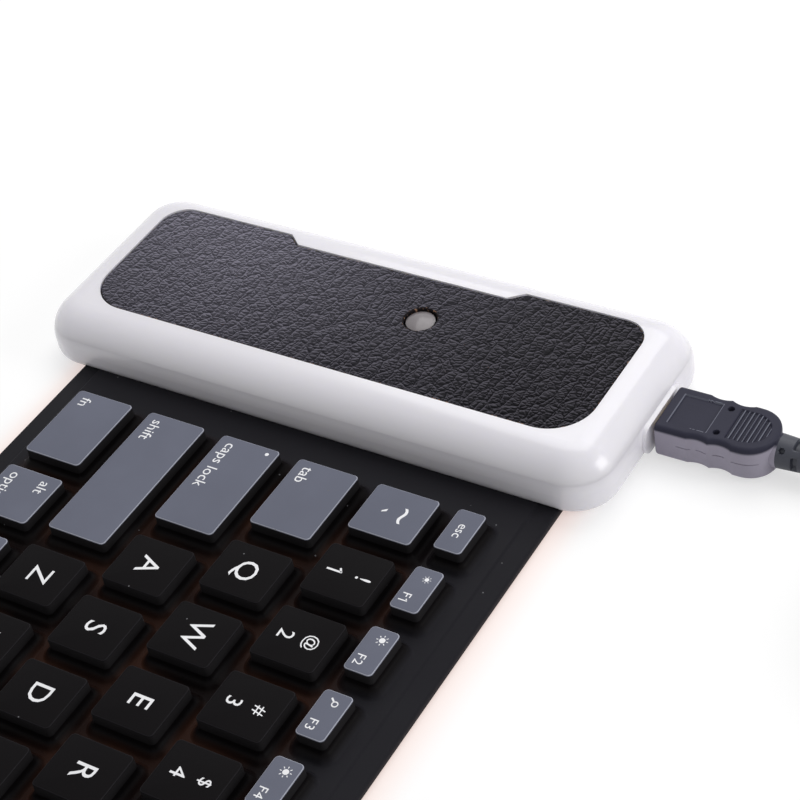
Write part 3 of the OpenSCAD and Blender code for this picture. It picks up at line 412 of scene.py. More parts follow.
# painted highlights: thin paler rims round the tops of the black and the grey caps
BLACK_RIM_HIGHLIGHT = silicone_material("black_silicone_rim_highlight", (0.014, 0.013, 0.015), glow=False, roughness=0.4)
GREY_RIM_HIGHLIGHT = silicone_material("grey_rim_highlight", (0.36, 0.37, 0.43), glow=False, roughness=0.45)
WHITE_INK = moulded_material("white_ink", (0.78, 0.78, 0.80), 0.5, 2500)
SHELL = shell_material()
LEATHER = leather_material()
LEATHER_EDGE = edge_material()
PVC = pvc_material()
# painted reflection: a dark upper face and pale flanks
GRIP_PAINTED_REFLECTION = grip_material("grip_sleeve_painted_reflection", (0.027, 0.027, 0.043), (0.30, 0.28, 0.34))
# painted highlight for the rib crests and the panel rim, over the same painted reflection
GRIP_CREST_HIGHLIGHT = grip_material("grip_sleeve_crest_highlight", (0.13, 0.135, 0.17), (0.2, 0.2, 0.23))
LENS = lens_material()
NICKEL = moulded_material("nickel_plate", (0.62, 0.62, 0.64), 0.3, 900, metallic=1.0)
GILT = moulded_material("gilt_plate", (0.75, 0.58, 0.32), 0.32, 900, metallic=1.0)
BOARD = moulded_material("solder_mask", (0.02, 0.12, 0.05), 0.4, 800)
FOIL = moulded_material("foil_pouch", (0.55, 0.56, 0.58), 0.35, 300, metallic=0.9, depth=0.1)
FILM = moulded_material("printed_film", (0.45, 0.28, 0.12), 0.45, 900)
DARK = moulded_material("dark_plastic", (0.02, 0.02, 0.022), 0.5, 1200)
FOOT = moulded_material("foot_rubber", (0.015, 0.015, 0.016), 0.75, 2000)

CAD_MATERIALS = {
    "housing_top": SHELL, "housing_bottom": SHELL, "leather_inlay": LEATHER, "indicator_lens": LENS,
    "main_board": BOARD, "board_parts": NICKEL, "battery_cell": FOIL, "usb_socket": NICKEL,
    "switch_body": NICKEL, "switch_knob": DARK, "housing_screws": NICKEL, "rubber_feet": FOOT,
    "clamp_bar": DARK, "usb_plug_grip": PVC, "usb_plug_shell": GILT, "usb_a_grip": PVC,
    "usb_a_shell": NICKEL,
}


def dress_cad_nodes():
    for name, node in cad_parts.items():
        material = CAD_MATERIALS.get(name, FILM if "film" in name else BLACK)
        node.data.materials.clear()
        node.data.materials.append(material)


# ======== mesh helpers

def finish_piece(name, mesh_data, materials, angle=35):
    mesh = bpy.data.meshes.new(name)
    mesh_data.to_mesh(mesh)
    mesh_data.free()
    for material in materials:
        mesh.materials.append(material)
    for polygon in mesh.polygons:
        polygon.use_smooth = True
    mesh.set_sharp_from_angle(angle=math.radians(angle))
    piece = bpy.data.objects.new(name, mesh)
    bpy.context.scene.collection.objects.link(piece)
    return piece


def rounded_outline(middle, width, depth, radius, corner_points=6):
    """Points anticlockwise round a rounded rectangle."""
    radius = min(radius, width / 2 - 0.01, depth / 2 - 0.01)
    points = []
    for turn, (sx, sy) in enumerate(((1, 1), (-1, 1), (-1, -1), (1, -1))):
        cx = middle[0] + sx * (width / 2 - radius)
        cy = middle[1] + sy * (depth / 2 - radius)
        for step in range(corner_points + 1):
            angle = math.pi / 2 * (turn + step / corner_points)
            points.append((cx + radius * math.cos(angle), cy + radius * math.sin(angle)))
    return points


def loft(mesh_data, rings, close_low=True, close_high=True, low=0, high=0, side=0):
    """Joins rings of equal length, each [(x, y, z), ...] in millimetres, and returns their vertices."""
    levels = [[mesh_data.verts.new((x * MM, y * MM, z * MM)) for x, y, z in ring] for ring in rings]
    count = len(levels[0])
    for index, (under, over) in enumerate(zip(levels, levels[1:])):
        for i in range(count):
            j = (i + 1) % count
            face = mesh_data.faces.new((under[i], under[j], over[j], over[i]))
            face.material_index = side(index) if callable(side) else side
    if close_low:
        mesh_data.faces.new(list(reversed(levels[0]))).material_index = low
    if close_high:
        mesh_data.faces.new(levels[-1]).material_index = high
    return levels


def arc(cx, cy, radius, start, end, count=14):
    turns = [math.radians(start + (end - start) * i / count) for i in range(count + 1)]
    return [(cx + radius * math.cos(turn), cy + radius * math.sin(turn)) for turn in turns]


def rect_ring(middle, width, depth, radius, z):
    return [(x, y, z) for x, y in rounded_outline(middle, width, depth, radius)]


# ======== keys

def key_rows():
    """Each key as (left, height, width, depth) from the field's left edge and the bottom row."""
    first_width, modifier = 17.6, 11.9
    arrow_gap = 1.5
    gap = KEY_PITCH - KEY_WIDTH
    starts = (36.7, 27.2, 21.6, KEY_PITCH)
    counts = (10, 11, 12, 12)
    option = first_width + gap
    command = option + modifier + gap
    control = command + modifier + gap
    space = control + first_width + gap
    arrows = (COLUMNS - 3) * KEY_PITCH
    right_option = arrows - gap - modifier
    right_command = right_option - gap - first_width
    small = (KEY_DEPTH - arrow_gap) / 2
    shift = (KEY_DEPTH - small) / 2
    rows = [[
        (0, 0, first_width, KEY_DEPTH), (option, 0, modifier, KEY_DEPTH), (command, 0, modifier, KEY_DEPTH),
        (control, 0, first_width, KEY_DEPTH), (space, 0, right_command - gap - space, KEY_DEPTH),
        (right_command, 0, first_width, KEY_DEPTH), (right_option, 0, modifier, KEY_DEPTH),
        (arrows, 0, KEY_WIDTH, KEY_DEPTH), (arrows + KEY_PITCH, shift, KEY_WIDTH, small),
        (arrows + KEY_PITCH, -shift, KEY_WIDTH, small), (arrows + 2 * KEY_PITCH, 0, KEY_WIDTH, KEY_DEPTH),
    ]]
    for row, (start, count) in enumerate(zip(starts, counts), 1):
        y = row * ROW_PITCH
        first_gap = gap if row == 4 else WIDE_KEY_GAP
        keys = [(0, y, start - first_gap, KEY_DEPTH)]
        keys += [(start + i * KEY_PITCH, y, KEY_WIDTH, KEY_DEPTH) for i in range(count)]
        last = start + count * KEY_PITCH
        keys.append((last, y, FIELD_WIDTH - last, KEY_DEPTH))
        rows.append(keys)
    pitch = (FIELD_WIDTH - FUNCTION_WIDTH) / (FUNCTION_KEYS - 1)
    y = 4 * ROW_PITCH + FUNCTION_ROW_PITCH
    rows.append([(i * pitch, y, FUNCTION_WIDTH, FUNCTION_DEPTH) for i in range(FUNCTION_KEYS)])
    return rows


MOVING = (
    ("key_fn", "key_option", "key_command"),
    ("key_shift", "key_z", "key_x"),
    ("key_caps", "key_a", "key_s", "key_d"),
    ("key_tab", "key_q", "key_w", "key_e", "key_r"),
    ("key_grave", "key_1", "key_2", "key_3", "key_4"),
    ("key_esc", "key_f1", "key_f2", "key_f3", "key_f4"),
)
# one word or mark for each key, or an upper and a lower one with a bar between them
LEGENDS = (
    ("fn", "alt|option", "cmd", "ctrl", "", "cmd", "alt|option", "<", "^", "v", ">"),
    ("shift", "Z", "X", "C", "V", "B", "N", "M", "<|,", ">|.", "?|/", "shift"),
    ("caps lock", "A", "S", "D", "F", "G", "H", "J", "K", "L", ":|;", "\"|'", "return"),
    ("tab", "Q", "W", "E", "R", "T", "Y", "U", "I", "O", "P", "{|[", "}|]", "||\\"),
    ("~|`", "!|1", "@|2", "#|3", "$|4", "%|5", "^|6", "&|7", "*|8", "(|9", ")|0", "_|-", "+|=", "delete"),
    ("esc", "F1", "F2", "F3", "F4", "F5", "F6", "F7", "F8", "F9", "F10", "F11", "F12", "F13", "F14", "del"),
)
BOTTOM_ROW, SPACE_BAR, FUNCTION_ROW = 0, 4, 5


def is_grey(row, index, count):
    """The printed keys: the function row, both ends of each row, and the bottom row but for its space bar."""
    ends = index == 0 or index == count - 1
    return row == FUNCTION_ROW or ends or (row == BOTTOM_ROW and index != SPACE_BAR)


def middle_of(key):
    return FIELD_LEFT + key[0] + key[2] / 2, BOTTOM_ROW_Y + key[1]


SILICONE = [BLACK, GREY, WEB, BLACK_RIM_HIGHLIGHT, GREY_RIM_HIGHLIGHT, FLANK_FILL_LIGHT]
BLACK_SLOT, GREY_SLOT, WEB_SLOT, BLACK_HIGHLIGHT_SLOT, GREY_HIGHLIGHT_SLOT, FLANK_FILL_LIGHT_SLOT = range(6)


def cap_rings(key, bottom):
    """Upright flanks and a rim that rounds over to the top, as (inset, height)."""
    middle = middle_of(key)
    width, depth = key[2], key[3]
    steps = ((0, bottom), (0, 4.4), (0.02, KEY_TOP - 0.4), (0.04, KEY_TOP - 0.2), (0.08, KEY_TOP - 0.1),
             (0.2, KEY_TOP - 0.02), (0.3, KEY_TOP))
    return [rect_ring(middle, width - 2 * inset, depth - 2 * inset, CAP_RADIUS - inset * 0.6, z)
            for inset, z in steps]


def web_rings(key):
    """The soft skirt that carries a key: it sweeps from the mat up its flank, as (reach, height)."""
    middle = middle_of(key)
    width, depth = key[2], key[3]
    steps = ((WEB_SPREAD, MAT_TOP - 0.02), (1.66, 2.04), (1.5, 2.14), (1.33, 2.32), (1.14, 2.56),
             (0.93, 2.78), (0.7, 2.96), (0.46, 3.12), (0.26, 3.32), (0.12, 3.6), (0.05, 3.9), (0.03, 4.1))
    return [rect_ring(middle, width + 2 * out, depth + 2 * out, CAP_RADIUS + out, z) for out, z in steps]


def add_cap(mesh_data, key, grey, bottom):
    """A key with its printed top, a painted highlight in the thin paler line where the print meets the edge,
    and painted fill light on its flanks.
    """
    top, edge = (GREY_SLOT, GREY_HIGHLIGHT_SLOT) if grey else (BLACK_SLOT, BLACK_HIGHLIGHT_SLOT)
    loft(mesh_data, cap_rings(key, bottom), low=BLACK_SLOT, high=top,
         side=lambda index: (FLANK_FILL_LIGHT_SLOT, FLANK_FILL_LIGHT_SLOT, FLANK_FILL_LIGHT_SLOT, top, edge, top)[index])


INK_TOP = KEY_TOP + 0.015


def text_shape(text, size, place, align="CENTER"):
    """Flat lettering as a mesh, in millimetres, standing upright for the user."""
    curve = bpy.data.curves.new("lettering", "FONT")
    curve.body = text
    curve.size = size * MM
    curve.align_x = align
    curve.align_y = "CENTER"
    curve.resolution_u = 3
    holder = bpy.data.objects.new("lettering", curve)
    bpy.context.scene.collection.objects.link(holder)
    bpy.context.view_layer.update()
    mesh = bpy.data.meshes.new_from_object(holder.evaluated_get(bpy.context.evaluated_depsgraph_get()))
    mesh.transform(Matrix.Translation((place[0] * MM, place[1] * MM, INK_TOP * MM)))
    bpy.data.objects.remove(holder)
    bpy.data.curves.remove(curve)
    return mesh


def flat_mesh(outlines):
    """Flat inked faces on the keys' tops, one for each outline of (x, y) in millimetres."""
    mesh_data = bmesh.new()
    for outline in outlines:
        mesh_data.faces.new([mesh_data.verts.new((x * MM, y * MM, INK_TOP * MM)) for x, y in outline])
    mesh = bpy.data.meshes.new("ink")
    mesh_data.to_mesh(mesh)
    mesh_data.free()
    return mesh


def bar_outline(start, end, width):
    """A straight stroke between two points."""
    first, last = Vector(start), Vector(end)
    across = (last - first).normalized().orthogonal() * width / 2
    return first - across, last - across, last + across, first + across


def figure_one(place, height):
    """A one with its flag."""
    x, y = place
    thick = height * 0.13
    top = y + height / 2
    flag = (x - height * 0.27, top - height * 0.24)
    return flat_mesh([bar_outline((x, y - height / 2), (x, top), thick),
                      bar_outline(flag, (x, top - thick / 2), thick * 0.9)])


def disc_outline(place, radius, points=20):
    return arc(*place, radius, 0, 360, points)[:-1]


def sun_shape(place, radius, rays=8):
    """A small sun: a disc with rays round it."""
    outlines = [disc_outline(place, radius)]
    for i in range(rays):
        along = Vector((radius, 0, 0))
        along.rotate(Matrix.Rotation(2 * math.pi * i / rays, 3, "Z"))
        middle = Vector(place)
        outlines.append(bar_outline(middle + along.xy * 1.35, middle + along.xy * 2, radius * 0.28))
    return flat_mesh(outlines)


def figures(text, size, place):
    """Figures in a row, with the figure one drawn with its flag."""
    shapes = []
    step = size * 0.62
    for i, figure in enumerate(text):
        at = (place[0] + i * step - (step / 2 if len(text) > 1 else 0), place[1])
        shapes.append(figure_one(at, size * 0.72) if figure == "1" else text_shape(figure, size, at))
    return shapes


WORDS = ("fn", "shift", "caps lock", "tab", "return", "delete", "ctrl", "cmd")
WORD_SIZE = 3.15
WORD_DROP = 3.4
LENS_ICON = 3


def function_shapes(text, index, x, y):
    """A function key: its small icon, and its F with the number."""
    if not text[-1].isdigit():
        return [text_shape(text, 2.6, (x, y))]
    size, line = 2.4, y - 1.0
    shapes = [text_shape("F", size, (x + 1.7, line))] + figures(text[1:], size, (x + 3.0, line))
    icon_x, icon_y = x - 2.5, y + 0.5
    if index != LENS_ICON:
        return shapes + [sun_shape((icon_x, icon_y), 0.4 if index % 2 else 0.55)]
    handle = bar_outline((icon_x - 0.4, icon_y - 0.5), (icon_x - 1.0, icon_y - 1.2), 0.32)
    return shapes + [text_shape("o", 2.6, (icon_x, icon_y + 0.1)), flat_mesh([handle])]


def two_line_shapes(upper, lower, x, y):
    """A figure or mark with its shifted mark above it."""
    if upper == "~":
        return [text_shape(upper, 7.0, (x, y + 2.0)), text_shape(lower, 6.0, (x, y - 3.6))]
    size, raised = (4.4, 3.0) if upper == "!" else (3.3, 2.6)
    return [text_shape(upper, size, (x, y + raised))] + figures(lower, 4.2, (x, y - 2.5))


def legend_shapes(row, index, key):
    text = LEGENDS[row][index]
    x, y = middle_of(key)
    left = x - key[2] / 2 + 1.6
    if not text:
        return []
    if row == FUNCTION_ROW:
        return function_shapes(text, index, x, y)
    if text in WORDS:
        shapes = [text_shape(text, WORD_SIZE, (left, y - WORD_DROP), "LEFT")]
        if text == "caps lock":
            shapes.append(flat_mesh([disc_outline((left, y + 4.2), 0.38)]))
        return shapes
    if text == "alt|option":
        return [text_shape(word, WORD_SIZE, (left, y + rise), "LEFT")
                for word, rise in (("alt", WORD_DROP), ("option", -WORD_DROP))]
    if len(text) > 2:
        return two_line_shapes(text[0], text[2:], x, y)
    return [text_shape(text, 5.9 if text.isalpha() else 4.5, (x, y))]


def joined_piece(name, shapes, material):
    mesh_data = bmesh.new()
    for shape in shapes:
        mesh_data.from_mesh(shape)
        bpy.data.meshes.remove(shape)
    return finish_piece(name, mesh_data, [material])


ROWS = key_rows()


def build_moving_keys():
    """The keys that travel, each as a cap with its legend, and the skirt under it, which rides the housing.
    """
    for row, names in enumerate(MOVING):
        for index, name in enumerate(names):
            key = ROWS[row][index]
            short = name[4:]
            mesh_data = bmesh.new()
            add_cap(mesh_data, key, is_grey(row, index, len(ROWS[row])), SKIRT_TOP + 0.03)
            cap = finish_piece(f"cap_{short}", mesh_data, SILICONE, 50)
            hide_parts(name)
            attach(cap, f"cap_{short}")
            legend = joined_piece(f"legend_{short}", legend_shapes(row, index, key), WHITE_INK)
            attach(legend, f"cap_{short}")
            mesh_data = bmesh.new()
            loft(mesh_data, web_rings(key), close_low=False, close_high=False)
            web = finish_piece(f"web_{short}", mesh_data, [WEB], 60)
            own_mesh(web)
            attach(web, "housing")


# ======== the mat

def piece_of(key):
    """0 is the mat that stays flat, and i is the piece at fold i."""
    middle = middle_of(key)[0]
    if middle + key[2] / 2 + WEB_SPREAD < piece_end(0):
        return 0
    return next(fold for fold in range(1, PANELS + 1) if middle < piece_end(fold))


def fold_x(fold):
    return FIRST_FOLD + (fold - 1) * PANEL_WIDTH


def piece_end(fold):
    if fold == 0:
        return FIRST_FOLD - BEND_BEFORE
    return MAT_RIGHT if fold == PANELS else fold_x(fold) + PANEL_WIDTH / 2


def mat_section(x, inset):
    """Cross-section points of the slab at x, anticlockwise in Y and Z, with its border step."""
    half = MAT_DEPTH / 2 - inset
    line = MAT_DEPTH / 2 - BORDER
    steps = [(half - 0.25, 0.0), (half, 0.22), (half, 1.25), (half - 0.12, 1.5), (half - 0.4, 1.6)]
    if inset < BORDER - 1:
        steps += [(line + 0.45, 1.62), (line + 0.2, 1.72), (line + 0.05, 1.92), (line - 0.2, MAT_TOP)]
    else:
        steps += [(half - 0.5, 1.7), (half - 0.6, 1.8), (half - 0.7, 1.9), (half - 0.8, MAT_TOP)]
    right = [(x, y, z) for y, z in steps]
    left = [(x, -y, z) for y, z in reversed(steps)]
    return right + left


def add_slab(mesh_data, start, end, slot):
    count = max(2, round((end - start) / 2))
    places = [start + (end - start) * i / count for i in range(count + 1)]
    rings = []
    for x in places:
        reach = MAT_CORNER - (MAT_RIGHT - x)
        inset = MAT_CORNER - math.sqrt(max(MAT_CORNER ** 2 - reach ** 2, 0)) if reach > 0 else 0
        rings.append(mat_section(x, inset))
    loft(mesh_data, rings, side=slot, low=slot, high=slot)


def build_mat():
    """The flat panel and the four at the folds, each cut across along its fold, with the keys that don't
    travel.
    """
    groups = {i: bmesh.new() for i in range(PANELS + 1)}
    letters = {i: [] for i in range(PANELS + 1)}
    for row, keys in enumerate(ROWS):
        for index, key in enumerate(keys):
            if index < len(MOVING[row]):
                continue
            grey = is_grey(row, index, len(keys))
            wide = (row, index) == (BOTTOM_ROW, SPACE_BAR)
            for group in ([1, 2] if wide else [piece_of(key)]):
                loft(groups[group], web_rings(key), close_low=False, close_high=False, side=WEB_SLOT)
                add_cap(groups[group], key, grey, SKIRT_TOP - 0.02)
            if not wide:
                letters[piece_of(key)] += legend_shapes(row, index, key)
    for i, mesh_data in groups.items():
        start = HOUSING_RIGHT - TONGUE if i == 0 else piece_end(i - 1)
        if i in (1, 2):
            cut_space_bar(mesh_data, i)
        add_slab(mesh_data, start, piece_end(i), BLACK_SLOT)
        if i:
            for step in range(BEND_STEPS + 1):
                cut(mesh_data, fold_x(i) - BEND_BEFORE + step * (BEND_BEFORE + BEND_AFTER) / BEND_STEPS)
        mat = finish_piece(f"mat_{i}", mesh_data, SILICONE, 50)
        nodes = [f"key_sheet_{i}", f"base_sheet_{i}"] + ([f"circuit_film_{i}"] if i else [])
        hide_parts(*nodes)
        settle(mat, i)
        if letters[i]:
            legend = joined_piece(f"legends_{i}", letters[i], WHITE_INK)
            settle(legend, i)


def settle(piece, fold):
    """Rides the flat part, or bakes the transform of a piece of any other panel into its mesh."""
    if fold == 0:
        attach(piece, "housing")
        return
    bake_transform(piece)


def cut(mesh_data, x):
    """Adds a line of points across the mesh at x, so that it can bend there."""
    everything = list(mesh_data.verts) + list(mesh_data.edges) + list(mesh_data.faces)
    bmesh.ops.bisect_plane(mesh_data, geom=everything, plane_co=(x * MM, 0, 0), plane_no=(1, 0, 0))


def cut_space_bar(mesh_data, piece):
    """The space bar spans two folds, so each of the two pieces keeps its own part of it."""
    key = ROWS[BOTTOM_ROW][SPACE_BAR]
    reach = WEB_SPREAD + 0.2
    low, high = FIELD_LEFT + key[0] - reach, FIELD_LEFT + key[0] + key[2] + reach
    y = middle_of(key)[1]
    inside = [face for face in mesh_data.faces
              if abs(face.calc_center_median().y / MM - y) < key[3] / 2 + reach
              and all(low < point.co.x / MM < high for point in face.verts)]
    geometry = (list({point for face in inside for point in face.verts})
                + list({edge for face in inside for edge in face.edges}) + inside)
    bmesh.ops.bisect_plane(mesh_data, geom=geometry, plane_co=(piece_end(1) * MM, 0, 0), plane_no=(1, 0, 0),
                           clear_outer=piece == 1, clear_inner=piece == 2)


FILM_TAIL_X = -107.2
FILM_TAIL_Y = 26.0
FILM_TAIL_WIDTH = 12.0
FILM_LOW, FILM_HIGH = 0.8, 1.0
FILM_PLUG_Z = 5.5


def build_film():
    """The flat panel's printed film, up to where the mat starts to bend, with its tail to the board."""
    low_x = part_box("circuit_film_0")[0][0] / MM
    mesh_data = bmesh.new()
    half = MAT_DEPTH / 2 - BORDER
    sheet = rounded_outline(((HOUSING_RIGHT - TONGUE + piece_end(0)) / 2, 0),
                            piece_end(0) - HOUSING_RIGHT + TONGUE, 2 * half, 0.5)
    loft(mesh_data, [[(x, y, z) for x, y in sheet] for z in (FILM_LOW, FILM_HIGH)])
    turn = arc(FILM_TAIL_X + 0.5, FILM_LOW + 0.5, 0.45, 270, 180, 5)
    rise = arc(FILM_TAIL_X - 0.45, FILM_PLUG_Z - 0.5, 0.5, 0, 90, 5)
    route = [(HOUSING_RIGHT - TONGUE + 1, FILM_LOW + 0.1)] + turn + rise + [(low_x, FILM_PLUG_Z)]
    thick = (FILM_HIGH - FILM_LOW) / 2
    rings = []
    for i, (x, z) in enumerate(route):
        ahead = Vector(route[min(i + 1, len(route) - 1)]) - Vector(route[max(i - 1, 0)])
        across = Vector((-ahead.y, ahead.x)).normalized() * thick
        rings.append([(x + side * across.x, FILM_TAIL_Y + end * FILM_TAIL_WIDTH / 2, z + side * across.y)
                      for side, end in ((-1, -1), (-1, 1), (1, 1), (1, -1))])
    loft(mesh_data, rings)
    bmesh.ops.recalc_face_normals(mesh_data, faces=mesh_data.faces)
    film = finish_piece("film_0", mesh_data, [FILM])
    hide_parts("circuit_film_0")
    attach(film, "housing")


# ======== the cord

LEAD_ROUTE = ((0, 4.5), (3.5, 4.5), (7, 4.35), (11, 3.9), (15, 3.3), (19, 2.7), (23, 2.25), (27, 1.95),
              (31, 1.85))
TAIL_ROUTE = ((0, 5.85), (3, 5.85), (6, 5.45), (9, 4.6), (12.2, 3.9))
COIL_START = COIL_DIAMETER / 2 + COIL_STEP * COIL_TURNS / 4
COIL_X = SOCKET_X + COIL_START


def coil_point(t):
    """The coil after t turns: inwards on the floor, up, and outwards on top."""
    radius = COIL_START - COIL_STEP * min(t, COIL_TURNS - t)
    u = min(max((t - COIL_TURNS / 2) * 2 + 0.5, 0), 1)
    angle = math.pi * (1 - 2 * t)
    return (COIL_X + radius * math.cos(angle), COIL_Y + radius * math.sin(angle),
            COIL_LOW + COIL_STEP * u * u * (3 - 2 * u))


def smooth_route(points, per_span=4):
    """Catmull-Rom points through a route."""
    padded = [points[0]] + list(points) + [points[-1]]
    out = []
    for a, b, c, d in zip(padded, padded[1:], padded[2:], padded[3:]):
        for i in range(per_span):
            t = i / per_span
            out.append(tuple(0.5 * (2 * q + (r - p) * t + (2 * p - 5 * q + 4 * r - s) * t * t
                                    + (3 * q - p - 3 * r + s) * t ** 3)
                             for p, q, r, s in zip(a, b, c, d)))
    out.append(points[-1])
    return out


def cord_points():
    lead = [(SOCKET_X, RELIEF_END + y, z) for y, z in LEAD_ROUTE]
    lead.append((SOCKET_X, COIL_Y - CORD_DIAMETER, COIL_LOW))
    turns = 64
    count = round(COIL_TURNS * turns)
    coil = [coil_point(i * COIL_TURNS / count) for i in range(count + 1)]
    end_x = COIL_X + CORD_DIAMETER
    end_y = COIL_Y + COIL_START
    tail = [(end_x + x, end_y, z) for x, z in TAIL_ROUTE] + [(end_x + TAIL_RUN, end_y, PLUG_A_Z)]
    return smooth_route(lead) + coil + smooth_route(tail)


def build_cord(grip):
    points = [tuple(c * MM for c in p) for p in cord_points()]
    curve = bpy.data.curves.new("charging_cord", "CURVE")
    curve.dimensions = "3D"
    curve.bevel_depth = CORD_DIAMETER / 2 * MM
    curve.bevel_resolution = 5
    curve.use_fill_caps = True
    spline = curve.splines.new("POLY")
    spline.points.add(len(points) - 1)
    for target, point in zip(spline.points, points):
        target.co = (*point, 1.0)
    spline.use_smooth = True
    curve.materials.append(PVC)
    piece = bpy.data.objects.new("charging_cord", curve)
    bpy.context.scene.collection.objects.link(piece)
    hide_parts("cord_lead", "cord_coil", "cord_tail")
    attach(piece, "charging_cord")


# ======== the plug's grip

GRIP_FRONT = 61.4
GRIP_LENGTH = 21.2
GRIP_WIDTH = 11.6
RELIEF_START = GRIP_FRONT + GRIP_LENGTH
GRIP_ROUND = 15.6
RELIEF_LENGTH = 12.0
RELIEF_RADIUS = 3.1
RELIEF_TIP = 2.4
EDGE_FADE = 0.12
PANEL_HALF, PANEL_FRONT, PANEL_BACK = 3.9, 1.9, 9.2
DIMPLE_X, DIMPLE_Y, DIMPLE_RADIUS = 3.2, 10.9, 0.6
RIB_PITCH = 0.85
RIB_FRONT, RIB_MIDDLE, RIB_BACK = 12.5, 15.4, 19.6


def smooth(t):
    t = min(max(t, 0.0), 1.0)
    return t * t * (3 - 2 * t)


def grip_half_width(y):
    """The grip's plan: straight, two finger hollows, a swell and a round end."""
    half = GRIP_WIDTH / 2
    for start, end, depth in ((6.2, 10.2, 0.45), (10.2, 14.6, 0.6)):
        if start < y < end:
            half -= depth * math.sin(math.pi * (y - start) / (end - start)) ** 0.8
    if y > GRIP_ROUND:
        t = (y - GRIP_ROUND) / (GRIP_LENGTH - GRIP_ROUND)
        half *= max(1 - t ** 2.3, 0.06) ** 0.5
    return half


def rib_area(x, y):
    """How far a point lies inside the grip's ribbed D, whose round side faces the cord."""
    if y < RIB_MIDDLE:
        chamfer = PANEL_HALF + 0.2 - abs(x) + (y - RIB_FRONT) * 0.5
        return min(PANEL_HALF - abs(x), y - RIB_FRONT, chamfer)
    return PANEL_HALF * (1 - math.hypot(x / PANEL_HALF, (y - RIB_MIDDLE) / (RIB_BACK - RIB_MIDDLE)))


def rib_reach(y):
    """Distance along the grip from the nearest rib's crest."""
    place = (y - RIB_FRONT) % RIB_PITCH
    return min(place, RIB_PITCH - place)


def panel_area(x, y):
    """How far a point lies inside the grip's sunk panel."""
    return min(PANEL_HALF - abs(x), y - PANEL_FRONT, PANEL_BACK - y)


def top_drop(x, y):
    """How far the grip's upper face lies below its rim, for its panel, dimples and ribs."""
    drop = 0.32 * smooth(panel_area(x, y) / EDGE_FADE)
    for side in (-DIMPLE_X, DIMPLE_X):
        reach = math.hypot(x - side, y - DIMPLE_Y)
        drop = max(drop, 1.3 * smooth((DIMPLE_RADIUS - reach) / 0.1))
    inside = rib_area(x, y)
    if inside > 0:
        drop = max(drop, 0.3 * smooth(inside / 0.15) * smooth((rib_reach(y) - 0.1) / EDGE_FADE))
    return drop


# heights of the points down the grip's flank, close together at the parting line
FLANK_STEPS = (1.8, 0.9, 0.2, 0.09, 0.05, -0.05, -0.09, -0.2, -0.9, -1.8)
GRIP_EDGE_RADIUS = 0.85
GRIP_FRONT_ROUND, GRIP_BACK_ROUND = 0.55, 1.6


def grip_ring(y):
    """The grip's section at y, anticlockwise from its upper right, with a close grid on the upper face."""
    front = min(y / GRIP_FRONT_ROUND, 1.0)
    inset = 0.5 * (1 - math.sqrt(max(1 - (1 - front) ** 2, 0)))
    back = max((y - GRIP_LENGTH) / GRIP_BACK_ROUND + 1, 0.0)
    half = grip_half_width(y) - inset
    high = GRIP_HEIGHT / 2 - inset - 0.5 * (1 - math.sqrt(max(1 - back * back, 0)))
    side, rise = half - GRIP_EDGE_RADIUS, high - GRIP_EDGE_RADIUS
    crown = [side * (1 - i / 30) for i in range(61)]
    points = [(x, high - top_drop(x, y)) for x in crown]
    points += arc(-side, rise, GRIP_EDGE_RADIUS, 90, 180, 6)[1:]
    points += [(parting(y, z) - half, z) for z in FLANK_STEPS]
    points += arc(-side, -rise, GRIP_EDGE_RADIUS, 180, 270, 6)
    points += [(side * (i / 4 - 1), -high) for i in range(1, 9)]
    points += arc(side, -rise, GRIP_EDGE_RADIUS, 270, 360, 6)[1:]
    points += [(half - parting(y, z), z) for z in reversed(FLANK_STEPS)]
    points += arc(side, rise, GRIP_EDGE_RADIUS, 0, 90, 6)[:-1]
    return [(SOCKET_X + x, GRIP_FRONT + y, SOCKET_Z + z) for x, z in points]


BLADE_THICK, BLADE_LENGTH = 0.44, 6.4
SLITS = ((4.2, 6.8), (7.8, 9.8), (11.0, 13.0), (14.6, 19.2))


def parting(y, z):
    """Short slits along the moulding's parting line."""
    open_here = any(start < y < end for start, end in SLITS)
    return 0.16 if open_here and abs(z) < 0.06 else 0.0


# slots in each quarter of the relief, their places along it and their depth, and the hole before them
SLOTS, FIRST_SLOT, SLOT_PITCH, SLOT_HALF, SLOT_DEPTH = 4, 3.6, 2.3, 0.55, 0.75
HOLE_Y, HOLE_RADIUS, HOLE_DEPTH = 1.2, 0.55, 0.8
RELIEF_ROUND = 0.4
UPPER_FACE = 2.9


def relief_ring(y):
    """The ribbed sleeve behind the grip, from 3 mm inside the grip to its rounded tip."""
    radius = RELIEF_RADIUS + (RELIEF_TIP - RELIEF_RADIUS) * max(y, 0) / RELIEF_LENGTH
    past = (y - RELIEF_LENGTH + RELIEF_ROUND) / RELIEF_ROUND
    if past > 0:
        radius -= RELIEF_ROUND * (1 - math.sqrt(max(1 - past ** 2, 0)))
    points = []
    for i in range(96):
        a = 2 * math.pi * i / 96
        turn = abs(a / (math.pi / 2) % 1 - 0.5) * math.pi / 2
        around = smooth((turn - math.pi / 4 + 0.55) / 0.08)
        depth = 0.0
        for slot in range(SLOTS):
            reach = abs(y - FIRST_SLOT - slot * SLOT_PITCH)
            depth = max(depth, SLOT_DEPTH * smooth((SLOT_HALF - reach) / EDGE_FADE) * around)
        hole = math.hypot(y - HOLE_Y, (a - math.pi / 4) * radius)
        depth = max(depth, HOLE_DEPTH * smooth((HOLE_RADIUS - hole) / EDGE_FADE))
        points.append((SOCKET_X + (radius - depth) * math.cos(a), RELIEF_START + y,
                       SOCKET_Z + (radius - depth) * math.sin(a)))
    return points


